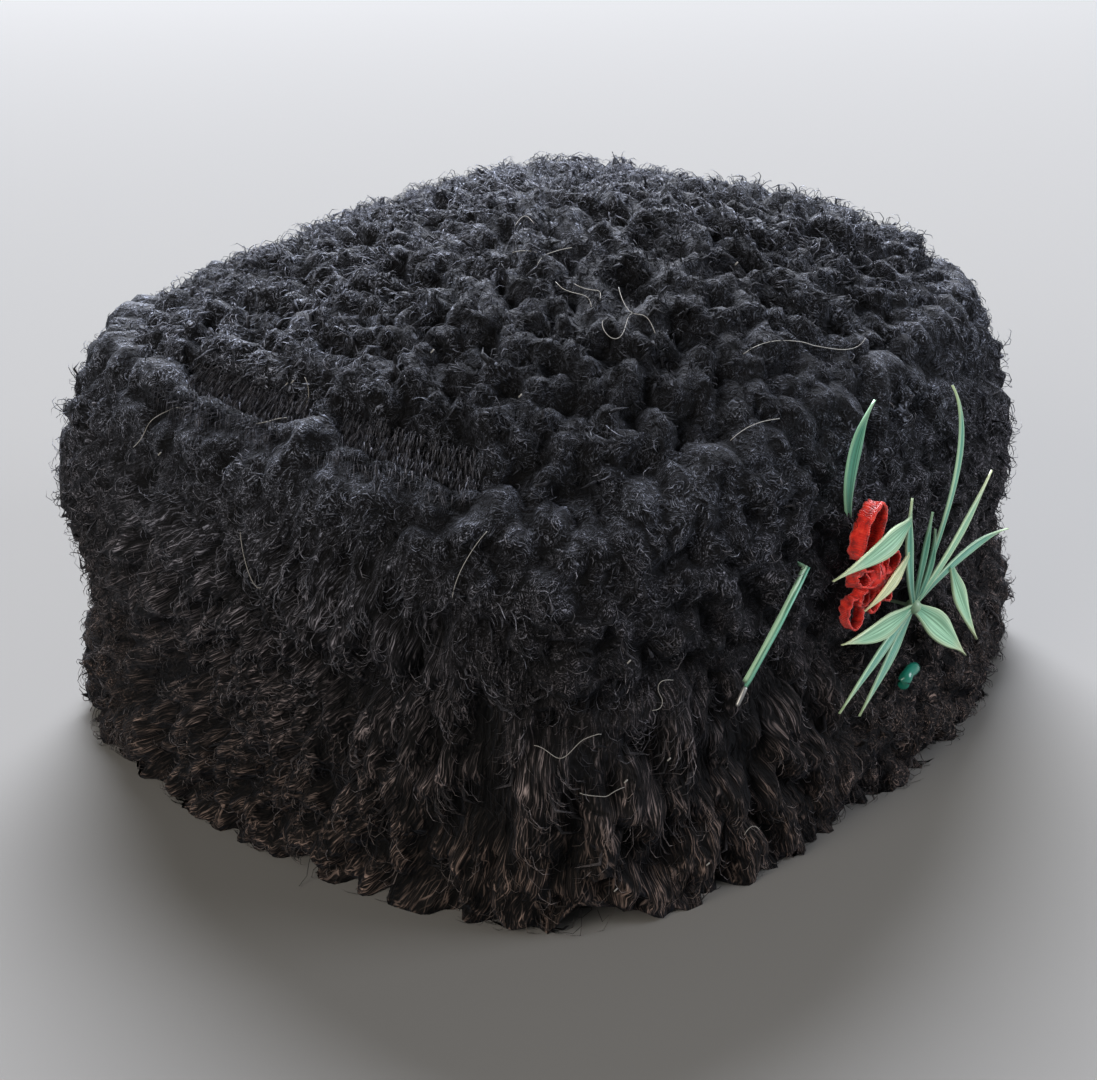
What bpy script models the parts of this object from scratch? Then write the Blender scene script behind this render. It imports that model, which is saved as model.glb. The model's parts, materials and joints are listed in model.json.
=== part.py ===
"""Kalpak of black curly lambskin, with a sprig of moulded leaves and a red ribbon flower.

Metres, +Z up. The hat stands on its rim at z = 0, with its middle on the origin. Its front
corner points to -Y, and the sprig is on its +X side, which is the wearer's left.
"""

import math
from collections import namedtuple

import bmesh
import bpy
from mathutils import Matrix, Vector, noise
from mathutils.bvhtree import BVHTree

MM = 0.001
SHARP_EDGE = math.radians(50)

# Plan of the hat over its wool: an oval that comes to a blunt corner at the front and the back
HALF_WIDTH = 102.6 * MM
FRONT_LENGTH = 106.8 * MM
BACK_LENGTH = 102.7 * MM
PLAN_POWER = 1.435
AXIS_Y = 2.2 * MM
CORNER_SKEW = -8.7 * MM

# Heights: the seam between band and crown dips at the front corner, and the crown leans
SEAM_HEIGHT = 84.8 * MM
SEAM_DIP = 11 * MM
SEAM_DIP_POWER = 8
CROWN_HEIGHT = 116.5 * MM
CROWN_RISE_TO_LEFT = 11.3 * MM
CROWN_RISE_TO_FRONT = 1.7 * MM
CROWN_POWER = 1.56

# A shallow trough across the crown behind its crest: it slants a little, and fades to both ends
DENT_DEPTH = 4 * MM
DENT_WIDTH = 16 * MM
DENT_LENGTH = 48 * MM
DENT_SLANT = 0.18
DENT_BACK = 12 * MM
DENT_TO_LEFT = 40 * MM

# Lambskin: a skin with curly wool on it in locks
SKIN = 3 * MM
PILE = 9 * MM
GAP = 0.3 * MM
LOCK_TIP_SHARE = 0.48
LOCK_LEAN = 3.0 * MM
LONGEST_LOCK = 1.08
LOCK_UNEVENNESS = 0.24
SHORTEST_LOCK = 3.2 * MM
LOCK_SHIFT = 0.5
CHANCE_CELL = 3 * MM

# The lowest row of locks hangs toward the table, and the crown's locks stand up beside the seam
LOW_LOCKS = 7 * MM
LOW_LOCK_DROP = 3 * MM
LOWEST_TIP = 2.5 * MM
STANDING_REACH = 0.7
STANDING_LIFT = 1.1

# A point in the hollow that the skin's outer side faces away from, and how near counts as the same
HOLLOW_MIDDLE = Vector((0.0, 0.0, 20 * MM))
SAME_PLACE = 0.01

# Columns and rows of locks
COLUMNS = 48
FRONT_GATHER = 0.3
BAND_ROWS = 10
CROWN_GRID = COLUMNS // 4
CROWN_RING_REACH = (0.94, 0.88)

# The small V where the wool parts under the front corner
NOTCH_HEIGHT = 4 * MM

# The band from its rim to the lip in the seam. Height is a share of the seam's height, spread a
# share of the plan, and pile a share of the wool's length.
Section = namedtuple("Section", "height spread pile")
BAND_SECTIONS = (
    Section(height=0.00, spread=1.062, pile=1.0),
    Section(height=0.16, spread=1.070, pile=1.0),
    Section(height=0.33, spread=1.063, pile=1.0),
    Section(height=0.52, spread=1.036, pile=0.9),
    Section(height=0.70, spread=1.056, pile=1.0),
    Section(height=0.90, spread=1.032, pile=0.9),
    Section(height=1.01, spread=0.985, pile=0.5),
    Section(height=0.95, spread=0.955, pile=0.0),
)

# The crease and the rolls lie lower at the sides than at the front: powers of a section's height
HEIGHT_POWER_AT_SIDES = 1.5
HEIGHT_POWER_AT_FRONT = 0.75

CROWN_FULL_PILE = 0.91
SEAM_SPREAD = 0.955
SKIRT_HEIGHT = 0.95

# Places on the wall: degrees round from +X, millimetres above the rim, millimetres out of the wool
Place = namedtuple("Place", "turn height out")
KNOT = Place(-45.4, 41, 2.5)

# Leaves and stalks of the moulded spray, from root to tip, with their greatest width. A leaf's
# root is a place, or a share of the way along the leaf that carries it.
Leaf = namedtuple("Leaf", "root middle tip width")
Branch = namedtuple("Branch", "carrier share")
SPRAY_LEAVES = {
    "upright": Leaf(KNOT, Place(-37.6, 67, 4.0), Place(-36.1, 83, 5.0), 2.6 * MM),
    "pale": Leaf(KNOT, Place(-37.8, 51.5, 3.5), Place(-30.6, 62, 6.0), 3.0 * MM),
    "arched": Leaf(KNOT, Place(-35.9, 47, 4.5), Place(-28.9, 48, 8.5), 2.2 * MM),
    "broad_left": Leaf(Branch("stalk_left", 0.8), Place(-55.4, 62, 6.5), Place(-63.1, 60, 6.0), 5.0 * MM),
    "narrow_left": Leaf(Branch("stalk_left", 0.5), Place(-53.9, 53, 6.0), Place(-57.9, 50, 6.0), 2.6 * MM),
    "stalk_left": Leaf(KNOT, Place(-49.4, 56, 4.0), Place(-48.4, 67, 4.5), 2.6 * MM),
    "stalk_middle": Leaf(KNOT, Place(-45.7, 52.5, 3.5), Place(-44.8, 62, 5.0), 2.4 * MM),
    "stalk_right": Leaf(KNOT, Place(-43.4, 48.5, 3.0), Place(-43.1, 57, 3.5), 2.4 * MM),
    "low_left": Leaf(KNOT, Place(-53.5, 42, 4.0), Place(-60.5, 44, 5.0), 4.8 * MM),
    "long_low_left": Leaf(KNOT, Place(-53.8, 36.5, 4.0), Place(-61.4, 30.5, 5.0), 2.2 * MM),
    "long_low_right": Leaf(KNOT, Place(-51.4, 33.5, 3.0), Place(-57.6, 26.5, 3.5), 2.6 * MM),
    "low_right": Leaf(KNOT, Place(-40.3, 32.5, 4.0), Place(-35.3, 23, 4.5), 6.0 * MM),
    "broad_right": Leaf(Branch("arched", 0.35), Place(-35.7, 35.5, 5.0), Place(-33.5, 25.5, 6.0), 5.0 * MM),
}
LEAF_THICKNESS = 1.1 * MM
LEAF_EDGE_SHARE = 0.5
LEAF_SIDES = 4
LEAF_TANGENT_STEP = 0.05
KNOT_RADIUS = 2.2 * MM

# Breadth of a leaf as a share of its width, at shares of the way to its tip
LeafStep = namedtuple("LeafStep", "along breadth")
LEAF_STEPS = (
    LeafStep(along=0.00, breadth=0.40),
    LeafStep(along=0.18, breadth=0.62),
    LeafStep(along=0.42, breadth=1.00),
    LeafStep(along=0.66, breadth=0.84),
    LeafStep(along=0.86, breadth=0.42),
    LeafStep(along=1.00, breadth=0.10),
)

# Pieces of the spray that have come loose from it
SIDE_BLADE = Leaf(Place(-57.8, 67.5, 3.0), Place(-57.7, 80.5, 5.0), Place(-54.5, 90, 7.0), 3.4 * MM)
LOOSE_STEM_ROUTE = (Place(-64.1, 61, 2.6), Place(-68.8, 54, 3.0), Place(-72.9, 43.5, 2.6))
LOOSE_STEM_RADIUS = 1.0 * MM
WIRE_END = Place(-74.2, 40, 2.4)
WIRE_RADIUS = 0.5 * MM
WIRE_START_GAP = 0.5 * MM
STUB_ROUTE = (Place(-44.1, 26, 0.8), Place(-46.9, 27, 2.0), Place(-47.8, 24.5, 1.4))
STUB_RADIUS = 1.6 * MM

# Rods are faceted: corners round them, and steps along each kind
ROD_SIDES = 6
STEM_STEPS = 6
PIN_STEPS = 2
STUB_SIDES = 8
STUB_STEPS = 4
ROD_TANGENT_STEP = 0.02
ROD_UP = Vector((0.3, 0.1, 1.0))

# A pin goes through the wool to the skin, where the locks leave room for it
PIN_RADIUS = 0.8 * MM
PIN_END_GAP = 0.6 * MM
BARE_ROUND_PIN = 7.8 * MM

# Red ribbon: a pleated heart with a loop above it and a smaller one below. A loop's tilt is in
# degrees from upright, to the wearer's left.
HEART = Place(-54.6, 54, 2.6)
HEART_SIZE = Vector((6.2 * MM, 2.1 * MM, 6.0 * MM))
PLEATS = 7
PLEAT_DEPTH = 0.16
RIBBON_THICKNESS = 0.9 * MM
RibbonLoop = namedtuple("RibbonLoop", "place tilt height width depth")
RIBBON_LOOPS = (
    RibbonLoop(Place(-56.0, 64.5, 3.2), 28, 11 * MM, 4.6 * MM, 3.6 * MM),
    RibbonLoop(Place(-58.0, 48.5, 2.5), -4, 6.4 * MM, 4.2 * MM, 2.4 * MM),
)
LOOP_STEPS = 12


def clear_scene():
    for item in list(bpy.data.objects):
        bpy.data.objects.remove(item, do_unlink=True)


def new_collection(name, hidden=False):
    collection = bpy.data.collections.new(name)
    bpy.context.scene.collection.children.link(collection)
    collection.hide_render = hidden
    return collection


def material(name, colour, roughness, metallic=0.0):
    made = bpy.data.materials.new(name)
    made.use_nodes = True
    shader = made.node_tree.nodes["Principled BSDF"]
    shader.inputs["Base Color"].default_value = (*colour, 1.0)
    shader.inputs["Roughness"].default_value = roughness
    shader.inputs["Metallic"].default_value = metallic
    return made


def add_object(bm, name, collection, finish, smooth=False):
    """Turns a bmesh into a named object with one material."""
    mesh = bpy.data.meshes.new(name)
    bm.to_mesh(mesh)
    mesh.materials.append(finish)
    item = bpy.data.objects.new(name, mesh)
    collection.objects.link(item)
    if smooth:
        mesh.shade_smooth()
        mesh.set_sharp_from_angle(angle=SHARP_EDGE)
    return item


# Form of the hat
def plan_radius(turn):
    """Distance from the hat's axis to the plan's outline, in the direction of turn."""
    length = FRONT_LENGTH if math.sin(turn) < 0 else BACK_LENGTH
    across = abs(math.cos(turn) / HALF_WIDTH) ** PLAN_POWER
    along = abs(math.sin(turn) / length) ** PLAN_POWER
    return (across + along) ** (-1 / PLAN_POWER)


def hat_point(turn, radius, height):
    """A point at a radius from the axis, with the front corner drawn to its side."""
    x = radius * math.cos(turn)
    y = radius * math.sin(turn)
    forward = max(0.0, -y / FRONT_LENGTH)
    return Vector((x + CORNER_SKEW * forward ** 2, y + AXIS_Y, height))


def forward_share(turn):
    """How far forward the plan's outline is: 1 at the front corner, 0 from the sides to the back."""
    return max(0.0, -plan_radius(turn) * math.sin(turn) / FRONT_LENGTH)


def seam_height(turn):
    return SEAM_HEIGHT - SEAM_DIP * forward_share(turn) ** SEAM_DIP_POWER


def height_power(turn):
    forward = forward_share(turn)
    return HEIGHT_POWER_AT_SIDES + (HEIGHT_POWER_AT_FRONT - HEIGHT_POWER_AT_SIDES) * forward ** 2


def section_at(share):
    """The band's section at a share of the way from rim to lip, smooth through the table."""
    place = min(max(share, 0.0), 1.0) * (len(BAND_SECTIONS) - 1)
    index = min(int(place), len(BAND_SECTIONS) - 2)
    part = place - index
    before = BAND_SECTIONS[max(index - 1, 0)]
    start = BAND_SECTIONS[index]
    end = BAND_SECTIONS[index + 1]
    after = BAND_SECTIONS[min(index + 2, len(BAND_SECTIONS) - 1)]
    values = []
    for a, b, c, d in zip(before, start, end, after):
        bend = (2 * a - 5 * b + 4 * c - d) * part + (3 * b - a - 3 * c + d) * part ** 2
        values.append(b + 0.5 * part * (c - a + bend))
    return Section(*values)


def band_point(turn, share):
    section = section_at(share)
    radius = plan_radius(turn) * section.spread - PILE
    height = max(section.height, 0.0) ** height_power(turn)
    return hat_point(turn, radius, height * seam_height(turn))


def crown_point(turn, reach):
    """A point of the crown's skin; reach is 0 at its middle and 1 where it meets the seam."""
    radius = reach * (plan_radius(turn) * SEAM_SPREAD - PILE - GAP)
    point = hat_point(turn, radius, 0.0)
    seam = SKIRT_HEIGHT * seam_height(turn)
    top = CROWN_HEIGHT - PILE
    top += CROWN_RISE_TO_LEFT * point.x / HALF_WIDTH - CROWN_RISE_TO_FRONT * point.y / HALF_WIDTH
    lift = max(0.0, 1 - reach ** CROWN_POWER) ** (1 / CROWN_POWER)
    point.z = seam + (top - seam) * lift - crown_dent(point)
    return point


def crown_dent(point):
    """Depth of the shallow trough that runs across the crown behind its crest."""
    behind = (point.y - DENT_SLANT * point.x - DENT_BACK) / DENT_WIDTH
    beside = (point.x - DENT_TO_LEFT) / DENT_LENGTH
    return DENT_DEPTH * math.exp(-behind ** 2 - beside ** 2)


def gathered(turn):
    """Moves a column's angle toward the front corner, where the locks stand closer."""
    from_front = turn + math.pi / 2
    return turn - FRONT_GATHER * math.sin(from_front)


def wool_point(place):
    """The point at a place on the wall, measured from the tips of the wool."""
    turn = math.radians(place.turn)
    share = min(place.height * MM / seam_height(turn), 1.0) ** (1 / height_power(turn))
    heights = [section.height for section in BAND_SECTIONS[:-1]]
    index = max(i for i, height in enumerate(heights) if height <= share or i == 0)
    index = min(index, len(heights) - 2)
    part = (share - heights[index]) / (heights[index + 1] - heights[index])
    start = BAND_SECTIONS[index].spread
    spread = start + (BAND_SECTIONS[index + 1].spread - start) * part
    return hat_point(turn, plan_radius(turn) * spread + place.out * MM, place.height * MM)


def outward(place):
    turn = math.radians(place.turn)
    return Vector((math.cos(turn), math.sin(turn), 0.0))


def crown_pile(reach):
    """The crown's wool shortens toward the seam."""
    return min(1.0, max(0.0, (1 - reach) / (1 - CROWN_FULL_PILE)))


# Lambskin pieces
def ring_layout():
    """A plain tube of unit radius with a row of faces a unit high for each row of locks."""
    bm = bmesh.new()
    bmesh.ops.create_circle(bm, segments=COLUMNS, radius=1.0)
    edges = list(bm.edges)
    for _ in range(BAND_ROWS):
        ring, edges = next_ring(bm, edges)
        bmesh.ops.translate(bm, verts=ring, vec=(0.0, 0.0, 1.0))
    return bm


def next_ring(bm, edges):
    """Draws a ring of edges out into a row of faces; returns the new ring's corners and edges."""
    grown = bmesh.ops.extrude_edge_only(bm, edges=edges)["geom"]
    ring = [item for item in grown if isinstance(item, bmesh.types.BMVert)]
    edges = [item for item in grown if isinstance(item, bmesh.types.BMEdge)]
    return ring, edges


def disc_layout():
    """A square grid bent into a disc, with rings round it that have the band's columns."""
    bm = bmesh.new()
    bmesh.ops.create_grid(bm, x_segments=CROWN_GRID, y_segments=CROWN_GRID, size=1.0)
    inner = CROWN_RING_REACH[-1]
    for vert in bm.verts:
        vert.co = square_to_disc(vert.co.x, vert.co.y) * inner
    edges = [edge for edge in bm.edges if edge.is_boundary]
    for reach in reversed((1.0,) + CROWN_RING_REACH[:-1]):
        ring, edges = next_ring(bm, edges)
        for vert in ring:
            vert.co = vert.co.normalized() * reach
    return bm


def square_to_disc(a, b):
    """The grid's corners go to the front, the back and the sides, where the plan has corners."""
    reach = max(abs(a), abs(b))
    if reach == 0:
        return Vector((0.0, 0.0, 0.0))
    if abs(a) >= abs(b):
        turn = math.pi / 4 * (b / a)
        turn += 0.0 if a > 0 else math.pi
    else:
        turn = math.pi / 2 - math.pi / 4 * (a / b)
        turn += 0.0 if b > 0 else math.pi
    turn += math.pi / 4
    return Vector((math.cos(turn), math.sin(turn), 0.0)) * reach


def give_skin(bm, flat_rim):
    """Gives an open sheet the skin's thickness on its inner side; returns the outer faces."""
    bmesh.ops.recalc_face_normals(bm, faces=bm.faces)
    outer = list(bm.faces)
    away = sum(face.normal.dot(face.calc_center_median() - HOLLOW_MIDDLE) for face in outer)
    if away < 0:
        bmesh.ops.reverse_faces(bm, faces=outer)
    bm.normal_update()
    outside = bm.verts.layers.float_vector.new("outside")
    for vert in bm.verts:
        vert[outside] = vert.normal
    grown = bmesh.ops.extrude_face_region(bm, geom=outer, use_keep_orig=True)["geom"]
    for item in grown:
        if isinstance(item, bmesh.types.BMVert):
            item.co -= item[outside] * SKIN
            if flat_rim and item.co.z < SKIN:
                item.co.z = 0.0 if item[outside].z < 0.5 else item.co.z
    bmesh.ops.recalc_face_normals(bm, faces=bm.faces)
    return outer


def chance_at(point):
    """Three numbers from 0 to 1 that depend only on where a point is."""
    return noise.cell_vector(point / CHANCE_CELL)


def grow_locks(bm, faces):
    """Draws each face of the outer side out into a lock that narrows to its tip."""
    share = bm.verts.layers.float["pile"]
    standing = bm.verts.layers.float["standing"]
    pins = pin_places()

    def length_of(face):
        middle = face.calc_center_median()
        if any((middle - pin).length < BARE_ROUND_PIN for pin in pins):
            return 0.0
        return PILE * sum(vert[share] for vert in face.verts) / len(face.verts)

    shaggy = [face for face in faces if length_of(face) > SHORTEST_LOCK]
    bm.normal_update()
    grown = bmesh.ops.extrude_discrete_faces(bm, faces=shaggy)["faces"]
    for face in grown:
        middle = face.calc_center_median()
        normal = face.normal.copy()
        normal.z += STANDING_LIFT * sum(vert[standing] for vert in face.verts) / len(face.verts)
        normal.normalize()
        chance = chance_at(middle)
        side = normal.orthogonal().normalized()
        turn = chance.x * 2 * math.pi
        lean = side * math.cos(turn) + normal.cross(side) * math.sin(turn)
        length = length_of(face) * (LONGEST_LOCK - chance.y * LOCK_UNEVENNESS)
        tip = middle + normal * length + lean * LOCK_LEAN * chance.z * length / PILE
        if middle.z < LOW_LOCKS:
            tip.z = max(tip.z - LOW_LOCK_DROP, LOWEST_TIP)
        for vert in face.verts:
            vert.co = tip + (vert.co - middle) * LOCK_TIP_SHARE
            vert.co.z = max(vert.co.z, GAP)


def pin_places():
    """Where the sprig's pieces are pushed through the wool to the skin."""
    places = (KNOT, HEART, SIDE_BLADE.root, LOOSE_STEM_ROUTE[0], LOOSE_STEM_ROUTE[-1],
              STUB_ROUTE[0], STUB_ROUTE[-1])
    return [wool_point(place) - outward(place) * (PILE + place.out * MM) for place in places]


def make_band(collection, finish):
    """The side band: one strip sewn into a ring, with a roll above and below a soft crease."""
    bm = ring_layout()
    pile = bm.verts.layers.float.new("pile")
    bm.verts.layers.float.new("standing")
    for vert in bm.verts:
        row = vert.co.z
        turn = math.atan2(vert.co.y, vert.co.x)
        if 0 < row < BAND_ROWS - 1:
            shift = (chance_at(vert.co) - Vector((0.5, 0.5, 0.5))) * LOCK_SHIFT
            turn += shift.x * 2 * math.pi / COLUMNS
            row += shift.y
        turn = gathered(turn)
        share = row / BAND_ROWS
        vert[pile] = section_at(share).pile
        vert.co = band_point(turn, share)
        if row == 0 and abs(turn + math.pi / 2) < SAME_PLACE:
            vert.co.z = NOTCH_HEIGHT
    outer = give_skin(bm, flat_rim=True)
    grow_locks(bm, outer)
    add_object(bm, "band", collection, finish)
    return BVHTree.FromBMesh(bm)


def make_crown(collection, finish):
    """The crown: a low soft dome whose edge is turned down inside the band's lip."""
    bm = disc_layout()
    pile = bm.verts.layers.float.new("pile")
    standing = bm.verts.layers.float.new("standing")
    for vert in bm.verts:
        if vert.co.length < CROWN_RING_REACH[-1] - SAME_PLACE:
            shift = (chance_at(vert.co) - Vector((0.5, 0.5, 0.5))) * LOCK_SHIFT / CROWN_GRID * 2
            vert.co += Vector((shift.x, shift.y, 0.0))
        reach = min(vert.co.length, 1.0)
        vert[pile] = crown_pile(reach)
        vert[standing] = max(0.0, (reach - STANDING_REACH) / (1 - STANDING_REACH))
        turn = gathered(math.atan2(vert.co.y, vert.co.x)) if reach > 0 else 0.0
        vert.co = crown_point(turn, reach)
    outer = give_skin(bm, flat_rim=False)
    grow_locks(bm, outer)
    add_object(bm, "crown", collection, finish)


# Sprig
def route_point(points, share):
    """A point on the smooth curve that passes through three points."""
    root, middle, tip = points
    control = middle * 2 - (root + tip) / 2
    return (root * (1 - share) + control * share) * (1 - share) + (
        control * (1 - share) + tip * share) * share


def swept(stations, sides):
    """A closed solid through stations of centre, half-width vector and half-depth vector."""
    bm = bmesh.new()
    corner = bm.verts.layers.int.new("corner")
    ring = bmesh.ops.create_circle(bm, segments=sides, radius=1.0)["verts"]
    for index, vert in enumerate(ring):
        vert[corner] = index
    edges = list(bm.edges)
    for step, (centre, half_width, half_depth) in enumerate(stations):
        if step:
            ring, edges = next_ring(bm, edges)
        for vert in ring:
            turn = 2 * math.pi * vert[corner] / sides
            vert.co = centre + half_width * math.cos(turn) + half_depth * math.sin(turn)
    bmesh.ops.holes_fill(bm, edges=[edge for edge in bm.edges if edge.is_boundary], sides=0)
    bmesh.ops.recalc_face_normals(bm, faces=bm.faces)
    return bm


def leaf_points(leaf):
    """The root, middle and tip of a leaf; a branch has its root inside the leaf that carries it."""
    middle = wool_point(leaf.middle)
    tip = wool_point(leaf.tip)
    if isinstance(leaf.root, Branch):
        root = route_point(leaf_points(SPRAY_LEAVES[leaf.root.carrier]), leaf.root.share)
    else:
        root = wool_point(leaf.root)
    return root, middle, tip


def leaf_mesh(leaf):
    """A thin blade with a raised midrib, widest before its middle and pointed at its tip."""
    points = leaf_points(leaf)
    stations = []
    for step in LEAF_STEPS:
        centre = route_point(points, step.along)
        after = route_point(points, step.along + LEAF_TANGENT_STEP)
        ahead = after - route_point(points, step.along - LEAF_TANGENT_STEP)
        out = outward(leaf.middle).lerp(outward(leaf.tip), step.along)
        side = ahead.cross(out).normalized()
        depth = side.cross(ahead).normalized()
        thickness = LEAF_THICKNESS * (LEAF_EDGE_SHARE + (1 - LEAF_EDGE_SHARE) * step.breadth)
        stations.append((centre, side * leaf.width * step.breadth / 2, depth * thickness / 2))
    return swept(stations, LEAF_SIDES)


def rod_mesh(points, radius, sides, steps):
    """A round rod on the smooth curve through three points."""
    stations = []
    for step in range(steps + 1):
        share = step / steps
        after = route_point(points, share + ROD_TANGENT_STEP)
        ahead = after - route_point(points, share - ROD_TANGENT_STEP)
        side = ahead.cross(ROD_UP).normalized()
        depth = side.cross(ahead).normalized()
        stations.append((route_point(points, share), side * radius, depth * radius))
    return swept(stations, sides)


def pin_mesh(place, skin):
    """A short pin from a place on the sprig down to just above the skin."""
    head = wool_point(place)
    found, *_ = skin.ray_cast(head, -outward(place))
    end = found + outward(place) * PIN_END_GAP
    return rod_mesh((head, (head + end) / 2, end), PIN_RADIUS, ROD_SIDES, PIN_STEPS)


def axes_at(place):
    """Matrix of a place on the wall: X along the wall, Y into it, Z up."""
    out = outward(place)
    along = Vector((-out.y, out.x, 0.0))
    frame = Matrix((along, -out, Vector((0.0, 0.0, 1.0)))).transposed().to_4x4()
    frame.translation = wool_point(place)
    return frame


def ball_mesh(place, size):
    bm = bmesh.new()
    bmesh.ops.create_icosphere(bm, subdivisions=2, radius=1.0)
    bmesh.ops.scale(bm, verts=bm.verts, vec=size)
    bmesh.ops.transform(bm, verts=bm.verts, matrix=axes_at(place))
    return bm


def heart_mesh():
    """The gathered middle of the ribbon, pleated round its outward axis."""
    bm = bmesh.new()
    bmesh.ops.create_icosphere(bm, subdivisions=3, radius=1.0)
    for vert in bm.verts:
        turn = math.atan2(vert.co.z, vert.co.x)
        fold = 1 + PLEAT_DEPTH * math.sin(PLEATS * turn) * (1 - abs(vert.co.y))
        vert.co = Vector((vert.co.x * fold, vert.co.y, vert.co.z * fold)) * Vector(HEART_SIZE)
    return bm


def loop_mesh(loop):
    """A loop of ribbon: a flat section spun round the outward axis and drawn out in height."""
    bm = bmesh.new()
    radius = loop.width / 2
    bmesh.ops.create_grid(bm, x_segments=1, y_segments=1, size=0.5)
    for vert in bm.verts:
        vert.co = Vector((radius + vert.co.x * RIBBON_THICKNESS, vert.co.y * loop.depth, 0.0))
    bmesh.ops.delete(bm, geom=list(bm.faces), context="FACES_ONLY")
    bmesh.ops.spin(bm, geom=bm.verts[:] + bm.edges[:], cent=(0, 0, 0), axis=(0, 1, 0),
                   angle=2 * math.pi, steps=LOOP_STEPS, use_merge=True)
    bmesh.ops.scale(bm, verts=bm.verts, vec=(1.0, 1.0, loop.height / loop.width))
    leaning = axes_at(loop.place) @ Matrix.Rotation(math.radians(loop.tilt), 4, "Y")
    bmesh.ops.transform(bm, verts=bm.verts, matrix=leaning)
    bmesh.ops.recalc_face_normals(bm, faces=bm.faces)
    return bm


def fused(meshes, name, collection, cutters, finish):
    """One solid made of overlapping closed meshes."""
    base = add_object(meshes[0], name, collection, finish, smooth=True)
    for index, bm in enumerate(meshes[1:]):
        tool = add_object(bm, f"{name}_tool_{index}", cutters, finish, smooth=True)
        tool.hide_render = True
        tool.display_type = "WIRE"
        union = base.modifiers.new(f"union_{index}", "BOOLEAN")
        union.operation = "UNION"
        union.solver = "EXACT"
        union.object = tool
    return base


def make_spray(collection, cutters, finish, skin):
    """The moulded spray: every leaf and stalk runs into one knot, pinned through the wool."""
    meshes = [ball_mesh(KNOT, Vector((KNOT_RADIUS, KNOT_RADIUS, KNOT_RADIUS)))]
    meshes += [leaf_mesh(leaf) for leaf in SPRAY_LEAVES.values()]
    meshes.append(pin_mesh(KNOT, skin))
    return fused(meshes, "leaf_spray", collection, cutters, finish)


def make_loose_pieces(collection, cutters, leaf_finish, stub_finish, wire_finish, skin):
    """A blade and a stem that have come away, the stem's wire, and the stub of a lost leaf."""
    blade = [leaf_mesh(SIDE_BLADE), pin_mesh(SIDE_BLADE.root, skin)]
    fused(blade, "side_blade", collection, cutters, leaf_finish)
    points = [wool_point(place) for place in LOOSE_STEM_ROUTE]
    stem = [rod_mesh(points, LOOSE_STEM_RADIUS, ROD_SIDES, STEM_STEPS), pin_mesh(LOOSE_STEM_ROUTE[0], skin)]
    fused(stem, "loose_stem", collection, cutters, leaf_finish)
    end = wool_point(WIRE_END)
    start = points[-1] + (end - points[-1]).normalized() * WIRE_START_GAP
    wire = rod_mesh((start, (start + end) / 2, end), WIRE_RADIUS, ROD_SIDES, PIN_STEPS)
    add_object(wire, "stem_wire", collection, wire_finish, smooth=True)
    points = [wool_point(place) for place in STUB_ROUTE]
    stub = [rod_mesh(points, STUB_RADIUS, STUB_SIDES, STUB_STEPS), pin_mesh(STUB_ROUTE[0], skin)]
    fused(stub, "stem_stub", collection, cutters, stub_finish)


def make_ribbon(collection, cutters, finish, skin):
    heart = heart_mesh()
    bmesh.ops.transform(heart, verts=heart.verts, matrix=axes_at(HEART))
    meshes = [heart] + [loop_mesh(loop) for loop in RIBBON_LOOPS] + [pin_mesh(HEART, skin)]
    return fused(meshes, "ribbon_flower", collection, cutters, finish)


def build():
    clear_scene()
    parts = new_collection("kalpak")
    cutters = new_collection("cutters", hidden=True)
    skin = make_band(parts, material("band_lambskin", (0.012, 0.012, 0.014), 0.95))
    make_crown(parts, material("crown_lambskin", (0.014, 0.014, 0.018), 0.95))
    leaf_green = material("leaf_green_plastic", (0.16, 0.36, 0.24), 0.5)
    stub_green = material("stub_teal_plastic", (0.02, 0.17, 0.12), 0.3)
    wire_grey = material("wire_tinned", (0.55, 0.55, 0.52), 0.4, metallic=1.0)
    red = material("ribbon_red", (0.65, 0.01, 0.01), 0.6)
    make_spray(parts, cutters, leaf_green, skin)
    make_loose_pieces(parts, cutters, leaf_green, stub_green, wire_grey, skin)
    make_ribbon(parts, cutters, red, skin)


build()
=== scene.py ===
"""Looks of a black lambskin kalpak with an artificial sprig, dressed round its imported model."""

import json
import math
from collections import namedtuple

import bmesh
import bpy
import numpy as np
from mathutils import Matrix, Vector, noise

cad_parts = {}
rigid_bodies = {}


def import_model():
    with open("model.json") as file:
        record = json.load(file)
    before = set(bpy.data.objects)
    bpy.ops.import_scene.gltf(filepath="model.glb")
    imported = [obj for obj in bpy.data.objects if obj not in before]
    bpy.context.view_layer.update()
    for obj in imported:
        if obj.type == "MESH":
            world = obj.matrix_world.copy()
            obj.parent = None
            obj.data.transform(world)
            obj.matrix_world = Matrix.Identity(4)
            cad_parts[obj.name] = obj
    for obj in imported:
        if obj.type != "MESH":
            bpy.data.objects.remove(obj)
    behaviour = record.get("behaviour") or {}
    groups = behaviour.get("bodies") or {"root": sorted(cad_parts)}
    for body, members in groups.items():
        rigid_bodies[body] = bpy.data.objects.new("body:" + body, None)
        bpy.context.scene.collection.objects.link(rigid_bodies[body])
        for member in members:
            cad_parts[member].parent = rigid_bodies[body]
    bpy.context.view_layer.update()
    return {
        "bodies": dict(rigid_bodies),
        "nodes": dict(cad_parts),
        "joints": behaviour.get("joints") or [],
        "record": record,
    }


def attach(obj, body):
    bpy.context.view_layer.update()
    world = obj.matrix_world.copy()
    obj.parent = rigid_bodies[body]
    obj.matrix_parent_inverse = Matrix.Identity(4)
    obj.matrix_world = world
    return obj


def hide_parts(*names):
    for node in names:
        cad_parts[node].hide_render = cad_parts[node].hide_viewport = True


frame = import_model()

MM = 0.001

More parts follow.
